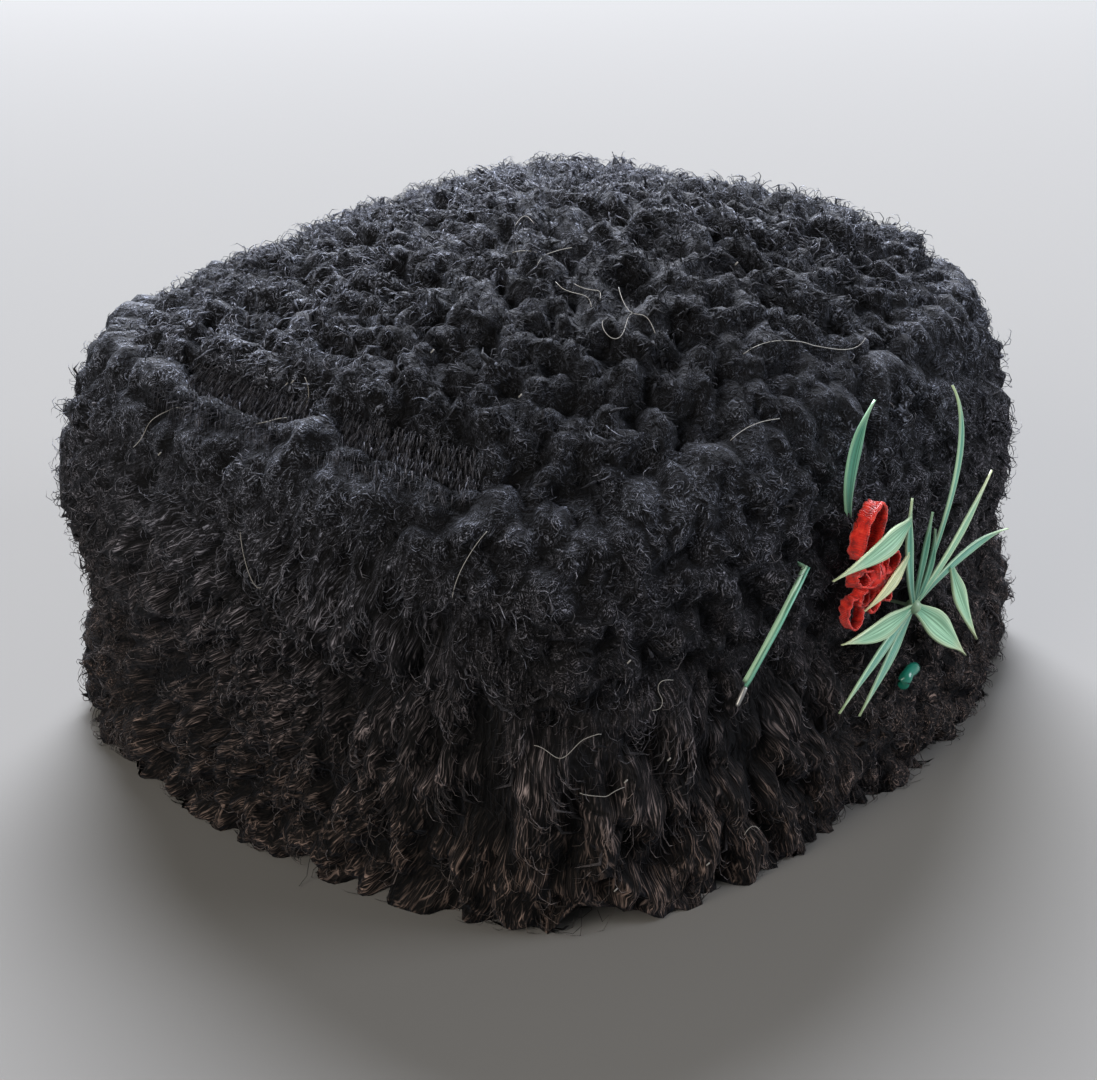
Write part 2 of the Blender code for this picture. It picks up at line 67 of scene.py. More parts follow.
# Camera, floor and studio light
# The hat stands on a plain pale floor. A wide soft panel stands high behind it, like a window, with
# weaker ones in front to the left and at the right, so that the crown's back catches a cool light.
EYE = Vector((-54.9, -434.6, 223.5)) * MM
AIM = Vector((-0.6, 0.0, 33.2)) * MM
ROLL = math.radians(-2.19)
LENS = 68.3
SENSOR = 36.0


def srgb(text):
    """Turns a colour such as #20242a to the linear values that a shader takes."""
    parts = [int(text[place:place + 2], 16) / 255 for place in (1, 3, 5)]
    linear = [part / 12.92 if part <= 0.04045 else ((part + 0.055) / 1.055) ** 2.4 for part in parts]
    return (*linear, 1.0)


def new_material(name, colour, roughness, **values):
    """A Principled material; values are other uniform inputs, set on the shader's own sockets."""
    made = bpy.data.materials.new(name)
    made.use_nodes = True
    shader = made.node_tree.nodes["Principled BSDF"]
    shader.inputs["Base Color"].default_value = srgb(colour)
    shader.inputs["Roughness"].default_value = roughness
    for socket, value in values.items():
        shader.inputs[socket.replace("_", " ")].default_value = value
    return made


def mesh_of(name, bm):
    mesh = bpy.data.meshes.new(name)
    bm.to_mesh(mesh)
    bm.free()
    return mesh


def new_object(name, mesh, *materials):
    for material in materials:
        mesh.materials.append(material)
    item = bpy.data.objects.new(name, mesh)
    bpy.context.scene.collection.objects.link(item)
    return item


def area_light(name, place, aim, size, power, colour):
    data = bpy.data.lights.new(name, "AREA")
    data.shape = "DISK"
    data.size = size
    data.energy = power
    data.color = srgb(colour)[:3]
    lamp = bpy.data.objects.new(name, data)
    turn = (Vector(aim) - Vector(place)).to_track_quat("-Z", "Y").to_matrix().to_4x4()
    lamp.matrix_world = Matrix.Translation(place) @ turn
    bpy.context.scene.collection.objects.link(lamp)


camera_data = bpy.data.cameras.new("camera")
camera_data.lens = LENS
camera_data.sensor_width = SENSOR
camera = bpy.data.objects.new("camera", camera_data)
looking = (AIM - EYE).to_track_quat("-Z", "Y").to_matrix().to_4x4()
camera.matrix_world = Matrix.Translation(EYE) @ looking @ Matrix.Rotation(ROLL, 4, "Z")
bpy.context.scene.collection.objects.link(camera)
bpy.context.scene.camera = camera

area_light("panel_behind", (0.35, 3.33, 2.37), (0, 0, 0.06), 3.15, 1180.0, "#eff3ff")
area_light("panel_front_left", (-0.9, -0.9, 0.7), (0, 0, 0.05), 0.8, 16.0, "#fff5ea")
area_light("panel_right", (1.0, -0.3, 0.5), (0, 0, 0.05), 0.6, 11.0, "#f4f6ff")

world = bpy.data.worlds.new("room")
world.use_nodes = True
world.node_tree.nodes["Background"].inputs["Color"].default_value = srgb("#e9eef3")
world.node_tree.nodes["Background"].inputs["Strength"].default_value = 0.33
bpy.context.scene.world = world
bpy.context.scene.view_settings.view_transform = "Standard"

floor_paint = new_material("matt_pale_floor", "#6c6b68", 1.0, Specular_IOR_Level=0.0)
bm = bmesh.new()
bmesh.ops.create_grid(bm, x_segments=1, y_segments=1, size=6.0)
floor = new_object("floor", mesh_of("floor", bm), floor_paint)

# Band
# A strip of black lambskin sewn into a ring, wool outward, with a corner at the front and a soft
# crease round its middle. This piece is the skin with the matted curls of its wool as one surface,
# and its suede side inside. The sizes are the hat's own, in millimetres over the wool.
HALF_WIDTH = 102.6
FRONT_LENGTH = 106.8
BACK_LENGTH = 102.7
PLAN_POWER = 1.435
AXIS_Y = 2.2
CORNER_SKEW = -8.7
SEAM_HEIGHT = 84.8
SEAM_DIP = 11.0
SEAM_DIP_POWER = 8
HEIGHT_POWER_AT_SIDES = 1.5
HEIGHT_POWER_AT_FRONT = 0.75
PILE = 9.0
SKIN = 3.0
WOOL_LOW = 3.4
WOOL_HIGH = 9.3
CURL_WIDTH = 5.2
CURL_SWAY = 2.2
SWELL_WIDTH = 13.0
SWELL_SHARE = 0.35
CURL_FALL = 1.5
LOCK_WIDTH = 5.2
LOCK_LENGTH = 11.5
LOCK_SWAY = 0.6
LOCK_SWAY_WIDTH = 9.0
LOCK_RIDGE = 1.12
LOCK_FALL = 2.1
LEVEL_FROM = 110.0
ARC = 1.85
FRONT_TURN = -88.0
HANG_SPREAD = 0.3
HANG_SPREAD_FROM = 40.0
LEVEL_SAG = 0.45
COMBED_TURNS = (-168.0, -60.0)
COMBED_TOP = ((-115.0, -95.0), (72.0, 46.0))
COMBED_SOFT = 5.0
SHORN = 0.62
NOTCH = ((-93.5, -91.0, -84.0), (0.0, 8.0, 0.0))
LEAST_LIT = 0.1
MOST_LIT = 1.4
CURL_SEED = 7
BAND_COLUMNS = 400
BAND_ROWS = 72

Section = namedtuple("Section", "height spread pile")
BAND_SECTIONS = np.array([
    Section(height=0.00, spread=1.062, pile=1.0),
    Section(height=0.16, spread=1.070, pile=1.0),
    Section(height=0.33, spread=1.063, pile=1.0),
    Section(height=0.52, spread=1.036, pile=0.9),
    Section(height=0.70, spread=1.056, pile=1.0),
    Section(height=0.90, spread=1.032, pile=0.9),
    Section(height=1.01, spread=0.985, pile=0.5),
    Section(height=0.95, spread=0.955, pile=0.0),
])
# Creases of the band where painted shade darkens the wool: turn and breadth in degrees, height and tall in
# millimetres
Crease = namedtuple("Crease", "turn breadth height tall")
CREASE_SHADES = (Crease(-112, 4, 40, 9), Crease(-95, 2.5, 44, 13), Crease(-82, 4, 50, 10), Crease(-58, 4, 62, 8))


def plan_radius(turn):
    length = np.where(np.sin(turn) < 0, FRONT_LENGTH, BACK_LENGTH)
    across = np.abs(np.cos(turn) / HALF_WIDTH) ** PLAN_POWER
    along = np.abs(np.sin(turn) / length) ** PLAN_POWER
    return (across + along) ** (-1 / PLAN_POWER)


def forward_share(turn):
    return np.clip(-plan_radius(turn) * np.sin(turn) / FRONT_LENGTH, 0.0, None)


def seam_height(turn):
    return SEAM_HEIGHT - SEAM_DIP * forward_share(turn) ** SEAM_DIP_POWER


def height_power(turn):
    rise = HEIGHT_POWER_AT_FRONT - HEIGHT_POWER_AT_SIDES
    return HEIGHT_POWER_AT_SIDES + rise * forward_share(turn) ** 2


def hat_point(turn, radius, height):
    """Points in millimetres at a radius from the axis, with the front corner drawn to its side."""
    x = radius * np.cos(turn)
    y = radius * np.sin(turn)
    forward = np.clip(-y / FRONT_LENGTH, 0.0, None)
    return np.stack([x + CORNER_SKEW * forward ** 2, y + AXIS_Y, height], axis=-1)


def section_at(share):
    """Height, spread and pile at shares of the way from rim to lip, smooth through the table."""
    last = len(BAND_SECTIONS) - 1
    place = np.clip(share, 0.0, 1.0) * last
    index = np.minimum(place.astype(int), last - 1)
    part = (place - index)[..., None]
    before = BAND_SECTIONS[np.maximum(index - 1, 0)]
    start = BAND_SECTIONS[index]
    end = BAND_SECTIONS[index + 1]
    after = BAND_SECTIONS[np.minimum(index + 2, last)]
    bend = (2 * before - 5 * start + 4 * end - after) * part
    bend = bend + (3 * start - before - 3 * end + after) * part ** 2
    return start + 0.5 * part * (end - before + bend)


def band_point(turn, share):
    section = section_at(share)
    height = np.clip(section[..., 0], 0.0, None) ** height_power(turn)
    return hat_point(turn, plan_radius(turn) * section[..., 1] - PILE, height * seam_height(turn))


def normals_of(surface, turn, along, step=0.004):
    """Outward directions of a surface given by its turn and a share along it."""
    across = surface(turn + step, along) - surface(turn - step, along)
    up = surface(turn, along + step) - surface(turn, along - step)
    normal = np.cross(across, up)
    return normal / np.linalg.norm(normal, axis=-1, keepdims=True)


def band_normals(turn, share):
    return normals_of(band_point, turn, share)


def draw_ring(bm, edges):
    """Draws a ring of edges out into a row of faces; returns the new ring's corners and edges."""
    grown = bmesh.ops.extrude_edge_only(bm, edges=edges)["geom"]
    ring = [item for item in grown if isinstance(item, bmesh.types.BMVert)]
    return ring, [item for item in grown if isinstance(item, bmesh.types.BMEdge)]


def near(value, middle, width):
    """1 at the middle and 0 a few widths from it."""
    return np.exp(-((value - middle) / width) ** 2)


def between(value, low, high, soft):
    """1 between two values and 0 beyond them, with soft ends."""
    return 1 / (1 + np.exp((low - value) / soft)) / (1 + np.exp((value - high) / soft))


def open_seam(turn):
    """1 where the seam can be seen: two stretches on the wearer's right of the front corner."""
    degrees = np.degrees(turn)
    return np.maximum(between(degrees, -160, -131, 1.2), between(degrees, -124, -102, 1.2))


def band_pile(turn, share):
    """The wool covers the seam, but for the two stretches where it lies open."""
    pile = np.clip(section_at(share)[:, 2], 0.0, 1.0)
    shorn = pile * (1 - SHORN * between(share, 0.79, 1.2, 0.008))
    covered = np.maximum(pile, 0.72) * np.clip((1 - share) / 0.09, 0.0, 1.0)
    return shorn + (covered - shorn) * (1 - open_seam(turn))


def painted_light_and_shade(points):
    """Painted light and shade of the wool: painted shade on the crown's front and in a few creases of the
    band, where the wool stands up, painted light on the upper band at the wearer's right and painted
    sheen on the crown's back."""
    x, y, height = points.T
    turn = np.degrees(np.arctan2(y, x))
    crown_front = near(x, 12, 62) * near(y, -62, 44) * near(height, 100, 22)
    painted_crease_shade = sum(near(turn, crease.turn, crease.breadth) * near(height, crease.height, crease.tall)
                  for crease in CREASE_SHADES)
    bright = near(turn, -150, 26) * near(height, 74, 20)
    crown_back = near(y, 45, 50) * near(height, 108, 18)
    lit = 1 - 0.75 * crown_front - 0.5 * painted_crease_shade + 0.8 * bright + 0.5 * crown_back
    return np.clip(lit, LEAST_LIT, MOST_LIT)


def combing(points):
    """Where the wool is combed into long locks: on the lower band, from the wearer's right, where they
    run level and sag a little, to the front corner, where they hang and spread. Gives the millimetres
    across and along the locks at each point, how much it is combed and how level they run."""
    x, y, height = points.T
    degrees = np.degrees(np.arctan2(y, x))
    around = (degrees - FRONT_TURN) * ARC
    level = np.clip(-around / LEVEL_FROM, 0.0, 1.0)
    level = level * level * (3 - 2 * level)
    hanging = around + HANG_SPREAD * height * np.clip(around / HANG_SPREAD_FROM, 0.0, 1.0)
    across = hanging * (1 - level) + (LEVEL_SAG * around - height) * level
    along = height * (1 - level) + around * level
    top = np.interp(degrees, *COMBED_TOP)
    combed = between(degrees, *COMBED_TURNS, 3) / (1 + np.exp((height - top) / COMBED_SOFT))
    return across, along, combed, level


def rim_rise(turn):
    """Height of the rim's lower edge: 0, but for the notch at the front corner."""
    return np.interp(np.degrees(turn), *NOTCH)


# The seed keeps the swirls of the wool the same from run to run
noise.seed_set(CURL_SEED)


def curls(points):
    """How high the curls of the wool rise at points in millimetres, from 0 between them to 1, and the
    way to the middle of the nearest curl. Where the wool is combed, long locks take their place."""
    rise = np.empty(len(points))
    inward = np.empty((len(points), 3))
    across, along, combed, _ = combing(points)
    for index, point in enumerate(points):
        spot = Vector(point)
        spot += noise.noise_vector(spot / CURL_WIDTH) * CURL_SWAY
        spot /= CURL_WIDTH
        distances, middles = noise.voronoi(spot)
        swell = SWELL_SHARE * noise.noise(spot * CURL_WIDTH / SWELL_WIDTH)
        rise[index] = 1.0 - CURL_FALL * distances[0] ** 2 + swell
        inward[index] = middles[0] - spot
        if combed[index] > 0.02:
            lock = Vector((across[index] / LOCK_WIDTH, along[index] / LOCK_LENGTH, 0.0))
            lock += noise.noise_vector(Vector(point) / LOCK_SWAY_WIDTH) * LOCK_SWAY
            lock_rise = LOCK_RIDGE - LOCK_FALL * noise.voronoi(lock)[0][0] ** 2
            rise[index] += (lock_rise - rise[index]) * combed[index]
    return np.clip(rise, 0.0, 1.0), inward


def painted_curl_light(rise, points):
    """Painted light and shade of the wool: about 0 in the painted shade between the curls and 1 on their
    tops, times the painted light and shade over the hat.
    """
    return np.clip(0.04 + 0.96 * rise / 0.75, 0.0, 1.0) * painted_light_and_shade(points) / MOST_LIT


def wool_depth(rise):
    """How far the surface of the wool stands off the skin, in millimetres."""
    return WOOL_LOW + (WOOL_HIGH - WOOL_LOW) * rise


def add_piece(name, mesh, slot, *materials):
    """A visible piece of the hat, which stays with its root."""
    piece = new_object(name, mesh, *materials)
    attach(piece, "root")
    return piece


# A wall of the hat: the points of its skin, their outward directions and how full its wool is
Wall = namedtuple("Wall", "point normals pile")


def add_skin(name, bm, wall, turns, shares, slot):
    """Gives an open sheet the form of the curls on a wall and, behind it, that of the suede inside. The
    painted light and shade of the wool, how it is combed and its place on the locks are kept at each
    corner."""
    skin_points = wall.point(turns, shares)
    skin_normals = wall.normals(turns, shares)
    rises = curls(skin_points)[0]
    lights = painted_curl_light(rises, skin_points)
    outside = skin_points + skin_normals * (wall.pile(turns, shares) * wool_depth(rises))[:, None]
    outside[:, 2] = np.maximum(outside[:, 2], rim_rise(turns))
    outer = list(bm.faces)
    painted_wool_light = bm.verts.layers.float.new("painted_wool_light")
    wool_combed = bm.verts.layers.float.new("wool_combed")
    lock_place = bm.verts.layers.float_vector.new("lock_place")
    across, along, combed, _ = combing(skin_points)
    for index, vert in enumerate(bm.verts):
        vert.co = Vector(outside[index]) * MM
        vert[painted_wool_light] = lights[index]
        vert[wool_combed] = combed[index]
        vert[lock_place] = Vector((across[index], along[index], 0.0))
    inner_place = bm.verts.layers.float_vector.new("inner_place")
    for vert, place in zip(bm.verts, skin_points - skin_normals * SKIN):
        vert[inner_place] = Vector(place) * MM
    grown = bmesh.ops.extrude_face_region(bm, geom=outer, use_keep_orig=True)["geom"]
    for item in grown:
        if isinstance(item, bmesh.types.BMVert):
            item.co = item[inner_place]
            if item.co.z < SKIN * MM:
                item.co.z = 0.0
        elif isinstance(item, bmesh.types.BMFace):
            item.material_index = 1
    for face in bm.faces:
        face.smooth = True
    bmesh.ops.recalc_face_normals(bm, faces=bm.faces)
    return add_piece(name, mesh_of(name, bm), slot, matted_wool, suede)


def add_node(material, kind, settings=(), inputs=(), stops=()):
    """Adds a node with its own settings, with inputs that are values or other nodes' outputs and, for
    a ramp, with stops that are each a place and a colour."""
    made = material.node_tree.nodes.new(kind)
    for name, value in dict(settings).items():
        setattr(made, name, value)
    for name, value in dict(inputs).items():
        if isinstance(value, bpy.types.NodeSocket):
            material.node_tree.links.new(value, made.inputs[name])
        else:
            made.inputs[name].default_value = value
    for _ in stops[2:]:
        made.color_ramp.elements.new(0.5)
    for number, (place, colour) in enumerate(stops):
        made.color_ramp.elements[number].position = place
        made.color_ramp.elements[number].color = srgb(colour)
    return made


def dress(material, colour, height=0.0, depth=0.0, strength=1.0):
    """Gives a material's shader its colour and a relief, whose depth is in millimetres."""
    links = material.node_tree.links
    shader = material.node_tree.nodes["Principled BSDF"]
    links.new(colour, shader.inputs["Base Color"])
    if depth:
        relief = add_node(material, "ShaderNodeBump",
                          inputs={"Height": height, "Strength": strength, "Distance": depth * MM})
        links.new(relief.outputs["Normal"], shader.inputs["Normal"])
        return relief


def lambs_wool(name, specular):
    """Natural black lamb's wool: dull, with the faint cool sheen of its fibres."""
    return new_material(name, "#17171a", 0.8, Specular_IOR_Level=specular, Sheen_Weight=0.05,
                        Sheen_Roughness=0.5, Sheen_Tint=srgb("#9aa3b8"))


def warped(material, place, scale, sway):
    """Places in millimetres, pushed about by a soft noise so that straight streaks swirl."""
    soft = add_node(material, "ShaderNodeTexNoise", inputs={"Vector": place, "Scale": 1 / scale,
                                                           "Detail": 1.5})
    middle = add_node(material, "ShaderNodeVectorMath", {"operation": "SUBTRACT"},
                      {0: soft.outputs["Color"], 1: (0.5, 0.5, 0.5)})
    push = add_node(material, "ShaderNodeVectorMath", {"operation": "SCALE"},
                    {0: middle.outputs[0], "Scale": sway})
    return add_node(material, "ShaderNodeVectorMath", {"operation": "ADD"},
                    {0: place, 1: push.outputs[0]}).outputs[0]


def fibre_streaks(material, place, widths):
    """Fine fibres whose widths and length, in millimetres, lie along X, Y and Z."""
    fine = add_node(material, "ShaderNodeVectorMath", {"operation": "DIVIDE"}, {0: place, 1: widths})
    return add_node(material, "ShaderNodeTexNoise",
                    inputs={"Vector": fine.outputs[0], "Scale": 1.0, "Detail": 2.0}).outputs["Fac"]


# Surface of the wool: natural black lamb's wool, matted in curls, with its single fibres as streaks
# about a quarter of a millimetre wide that swirl from curl to curl, or run along the combed locks. The
# gaps between curls and between locks are darkened with painted shade.
matted_wool = lambs_wool("wool_black_lamb", 0.12)
place = add_node(matted_wool, "ShaderNodeTexCoord").outputs["Object"]
place = add_node(matted_wool, "ShaderNodeVectorMath", {"operation": "SCALE"},
                 {0: place, "Scale": 1 / MM}).outputs[0]
height = add_node(matted_wool, "ShaderNodeSeparateXYZ", inputs={"Vector": place}).outputs["Z"]
on_lock, light, combing_share = (
    add_node(matted_wool, "ShaderNodeAttribute", {"attribute_name": name}).outputs[output]
    for name, output in (("lock_place", "Vector"), ("painted_wool_light", "Fac"), ("wool_combed", "Fac")))
upright = fibre_streaks(matted_wool, warped(matted_wool, place, 8.0, 16.0), (0.28, 0.28, 3.0))
level = fibre_streaks(matted_wool, warped(matted_wool, place, 6.0, 14.0), (3.0, 0.28, 0.28))
straight = fibre_streaks(matted_wool, warped(matted_wool, on_lock, 6.0, 2.4), (0.22, 7.0, 1.0))
crossing = fibre_streaks(matted_wool, warped(matted_wool, on_lock, 9.0, 7.0), (0.24, 5.0, 1.0))
curled, combed = (
    add_node(matted_wool, "ShaderNodeMath", {"operation": "MAXIMUM"}, {0: one, 1: other}).outputs[0]
    for one, other in ((upright, level), (straight, crossing)))
combed = add_node(matted_wool, "ShaderNodeMath", {"operation": "MULTIPLY_ADD"},
                  {0: combed, 1: 0.82, 2: 0.115}).outputs[0]
round_locks = add_node(matted_wool, "ShaderNodeTexNoise",
                       inputs={"Vector": warped(matted_wool, place, 4.0, 5.0), "Scale": 1 / 2.6,
                               "Detail": 2.0}).outputs["Fac"]
long_locks = fibre_streaks(matted_wool, warped(matted_wool, on_lock, 6.0, 4.0), (1.9, 8.0, 1.0))
fibre, locks = (
    add_node(matted_wool, "ShaderNodeMix", {"data_type": "FLOAT"},
             {0: combing_share, 2: round_form, 3: combed_form}).outputs[0]
    for round_form, combed_form in ((curled, combed), (round_locks, long_locks)))
# Pale streaks of single fibres over near black; the pale blue-grey and brownish-grey tops of these ramps
# are painted highlights of the fibres
cool = add_node(matted_wool, "ShaderNodeValToRGB", inputs={"Fac": fibre},
                stops=((0.47, "#060607"), (0.58, "#222328"), (0.71, "#a2a8b8"))).outputs["Color"]
warm = add_node(matted_wool, "ShaderNodeValToRGB", inputs={"Fac": fibre},
                stops=((0.47, "#060606"), (0.58, "#26211f"), (0.71, "#a18b80"))).outputs["Color"]
# Cooler towards the top and warmer towards the bottom; the cool tint of the upper wool is painted cool
# light from above
warmth = add_node(matted_wool, "ShaderNodeMapRange",
                  inputs={"Value": height, "From Min": 15.0, "From Max": 80.0, "To Min": 1.0,
                          "To Max": 0.0}).outputs[0]
shade = add_node(matted_wool, "ShaderNodeMix", {"data_type": "RGBA"},
                 {"Factor": warmth, 6: cool, 7: warm}).outputs[2]
# Painted shade between the curls, with the painted light and shade kept on the skin's corners
painted_gap_shade = add_node(matted_wool, "ShaderNodeValToRGB", inputs={"Fac": light},
                stops=((0.0, "#262626"), (0.71, "#e0e0e0"), (1.0, "#ffffff"))).outputs["Color"]
# Painted shade between the clumps of fibres and between the combed locks
painted_clump_shade = add_node(matted_wool, "ShaderNodeValToRGB", inputs={"Fac": locks},
                  stops=((0.38, "#404040"), (0.62, "#ffffff"))).outputs["Color"]
for darker in (painted_gap_shade, painted_clump_shade):
    shade = add_node(matted_wool, "ShaderNodeMix", {"data_type": "RGBA", "blend_type": "MULTIPLY"},
                     {"Factor": 1.0, 6: shade, 7: darker}).outputs[2]
relief = dress(matted_wool, shade, fibre, 0.4)
locks_relief = add_node(matted_wool, "ShaderNodeBump",
                        inputs={"Height": locks, "Strength": 1.0, "Distance": 2.5 * MM})
matted_wool.node_tree.links.new(locks_relief.outputs["Normal"], relief.inputs["Normal"])

# Suede: the flesh side of the dyed lambskin, napped by scraping, so dull and slightly mottled
suede = new_material("suede_dyed_lambskin", "#2b2724", 0.92, Specular_IOR_Level=0.2)
place = add_node(suede, "ShaderNodeTexCoord").outputs["Object"]
nap = add_node(suede, "ShaderNodeTexNoise", inputs={"Vector": place, "Scale": 1 / (4 * MM), "Detail": 6.0})
shade = add_node(suede, "ShaderNodeValToRGB", inputs={"Fac": nap.outputs["Fac"]},
                 stops=((0.3, "#231f1d"), (0.7, "#35302c"))).outputs["Color"]
dress(suede, shade)

bm = bmesh.new()
bmesh.ops.create_circle(bm, segments=BAND_COLUMNS, radius=1.0)
edges = list(bm.edges)
for _ in range(BAND_ROWS):
    ring, edges = draw_ring(bm, edges)
    bmesh.ops.translate(bm, verts=ring, vec=(0.0, 0.0, 1.0))
grid = np.array([vert.co for vert in bm.verts])
turns = np.arctan2(grid[:, 1], grid[:, 0])
BAND = Wall(band_point, band_normals, band_pile)
band_skin = add_skin("band_skin", bm, BAND, turns, grid[:, 2] / BAND_ROWS, "band_lambskin")
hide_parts("band")

# Crown
# A low soft dome of the same lambskin, its edge turned down inside the band's lip and sewn there.
# It leans up to the wearer's left and has a shallow dent across it behind its crest.
CROWN_HEIGHT = 116.5
CROWN_RISE_TO_LEFT = 11.3
CROWN_RISE_TO_FRONT = 1.7
CROWN_POWER = 1.56
SEAM_SPREAD = 0.955
SKIRT_HEIGHT = 0.95
GAP = 0.3
DENT_DEPTH = 4.0
DENT_WIDTH = 16.0
DENT_MIDDLE = (40, 12)
DENT_SLANT = 0.18
CROWN_FULL_PILE = 0.91
CROWN_RINGS = 54


def crown_point(turn, reach):
    """Points of the crown's skin; reach is 0 at its middle and 1 where it meets the seam."""
    radius = reach * (plan_radius(turn) * SEAM_SPREAD - PILE - GAP)
    point = hat_point(turn, radius, 0.0 * radius)
    seam = SKIRT_HEIGHT * seam_height(turn)
    top = CROWN_HEIGHT - PILE
    top = top + CROWN_RISE_TO_LEFT * point[..., 0] / HALF_WIDTH
    top = top - CROWN_RISE_TO_FRONT * point[..., 1] / HALF_WIDTH
    lift = np.clip(1 - np.clip(reach, 0, 1) ** CROWN_POWER, 0.0, None) ** (1 / CROWN_POWER)
    behind = (point[..., 1] - DENT_SLANT * point[..., 0] - DENT_MIDDLE[1]) / DENT_WIDTH
    beside = (point[..., 0] - DENT_MIDDLE[0]) / (3 * DENT_WIDTH)
    dent = DENT_DEPTH * np.exp(-behind ** 2 - beside ** 2)
    point[..., 2] = seam + (top - seam) * lift - dent
    return point


def crown_normals(turn, reach):
    """Outward directions of the crown, from two steps across it that don't meet at its middle."""
    x = reach * np.cos(turn)
    y = reach * np.sin(turn)
    step = 0.004

    def at(a, b):
        return crown_point(np.arctan2(b, a), np.minimum(np.hypot(a, b), 0.9995))

    normal = np.cross(at(x + step, y) - at(x - step, y), at(x, y + step) - at(x, y - step))
    return normal / np.linalg.norm(normal, axis=-1, keepdims=True)


def crown_pile(turn, reach):
    pile = np.clip((1 - reach) / (1 - CROWN_FULL_PILE), 0.0, 1.0)
    shorn = pile * (1 - SHORN * between(reach, 0.90, 1.2, 0.008))
    covered = np.maximum(pile, 0.95) * np.clip((1 - reach) / 0.02, 0.0, 1.0)
    return shorn + (covered - shorn) * (1 - open_seam(turn))


bm = bmesh.new()
bmesh.ops.create_circle(bm, segments=BAND_COLUMNS, radius=1 / CROWN_RINGS)
edges = list(bm.edges)
bmesh.ops.contextual_create(bm, geom=edges)
for index in range(2, CROWN_RINGS + 1):
    ring, edges = draw_ring(bm, edges)
    for vert in ring:
        vert.co = vert.co.normalized() * (index / CROWN_RINGS)
bmesh.ops.poke(bm, faces=[face for face in bm.faces if len(face.verts) > 4])
grid = np.array([vert.co for vert in bm.verts])
turns = np.arctan2(grid[:, 1], grid[:, 0])
reaches = np.hypot(grid[:, 0], grid[:, 1])
reaches = 1 - np.clip(1 - reaches, 0.0, 1.0) ** 1.35
CROWN = Wall(crown_point, crown_normals, crown_pile)
crown_skin = add_skin("crown_skin", bm, CROWN, turns, reaches, "crown_lambskin")
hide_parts("crown")

# Wool
# The fibres that stand out of the matted curls: thicker wisps and single curled fibres, rooted in the
# curls and gathered at their tips, hanging in locks at the lower front. Where the seam lies open,
# strands are combed flat across it.
GOLDEN = (math.sqrt(5) - 1) / 2
TONES = 16
TILE_EDGE = 0.05
Ring = namedtuple("Ring", "along breadth")
WISP_RINGS = (Ring(0.0, 0.9), Ring(0.55, 0.85))
WISP_SIDES = 4
STRAND_RINGS = (Ring(0.0, 1.0), Ring(0.55, 0.85))
FUZZ_RINGS = (Ring(0.0, 0.9), Ring(0.38, 1.0), Ring(0.74, 0.8))
STRAND_SIDES = 3
STRAND_RADIUS = 0.12
BAND_WISPS = 3600
CROWN_WISPS = 2400
BAND_FUZZ = 22500
CROWN_FUZZ = 15000
COMBED_STRANDS = 1300
LEAST_PILE = 0.4
LOWEST = 0.5


def even_places(count, surface, seed, last):
    """Turns and shares of points spread evenly by area over a surface, with a little jitter."""
    turns = np.linspace(-math.pi, math.pi, 721)
    shares = np.linspace(0.0, last, 121)
    around = np.linalg.norm(np.diff(surface(turns, 0 * turns + last * 0.6), axis=0), axis=1)
    around = np.concatenate([[0.0], np.cumsum(around)])
    area = [0.0]
    for start, end in zip(shares[:-1], shares[1:]):
        girth = np.linalg.norm(np.diff(surface(turns, 0 * turns + (start + end) / 2), axis=0), axis=1)
        rise = surface(turns, 0 * turns + end) - surface(turns, 0 * turns + start)
        area.append(area[-1] + girth.sum() * np.linalg.norm(rise, axis=1).mean())
    chance = np.random.default_rng(seed)
    number = np.arange(count)
    up = (number + 0.5 + chance.uniform(-14, 14, count)) / count
    side = (number * GOLDEN + chance.uniform(-0.45, 0.45, count) / math.sqrt(count)) % 1.0
    share = np.interp(np.clip(up, 0.0, 1.0) * area[-1], area, shares)
    return np.interp(side * around[-1], around, turns), share


def tapered_template(sides, rings):
    """A closed shape along Z from a flat root, ring by ring to a point, with its corners' UVs."""
    bm = bmesh.new()
    bmesh.ops.create_cone(bm, cap_ends=True, segments=sides, radius1=1.0, radius2=0.0, depth=1.0,
                          matrix=Matrix.Translation((0.0, 0.0, 0.5)))
    lengthwise = [edge for edge in bm.edges if any(vert.co.z > 0.999 for vert in edge.verts)]
    bmesh.ops.subdivide_edges(bm, edges=lengthwise, cuts=len(rings) - 1, use_grid_fill=True)
    levels = sorted({round(vert.co.z, 4) for vert in bm.verts})[:-1]
    for vert in bm.verts:
        if vert.co.z < 0.999:
            step = rings[levels.index(round(vert.co.z, 4))]
            vert.co = Vector((vert.co.x, vert.co.y, 0.0)).normalized() * step.breadth
            vert.co.z = step.along
    bmesh.ops.recalc_face_normals(bm, faces=bm.faces)
    bm.verts.index_update()
    corners = np.array([vert.co for vert in bm.verts])
    faces = [[vert.index for vert in face.verts] for face in bm.faces]
    bm.free()
    turn = np.arctan2(corners[:, 1], corners[:, 0]) / (2 * math.pi)
    across = np.abs(2 * (turn % 1.0) - 1)
    uvs = []
    for face in faces:
        apex = [index for index in face if corners[index, 2] > 0.999]
        rest = [across[index] for index in face if index not in apex]
        for place, index in enumerate(face):
            u = sum(rest) / len(rest) if index in apex else across[index]
            flat_root = 0.01 * place if corners[index, 2] == 0 and len(face) == sides else 0.0
            uvs.append((u, corners[index, 2] + flat_root))
    return corners, faces, np.array(uvs)


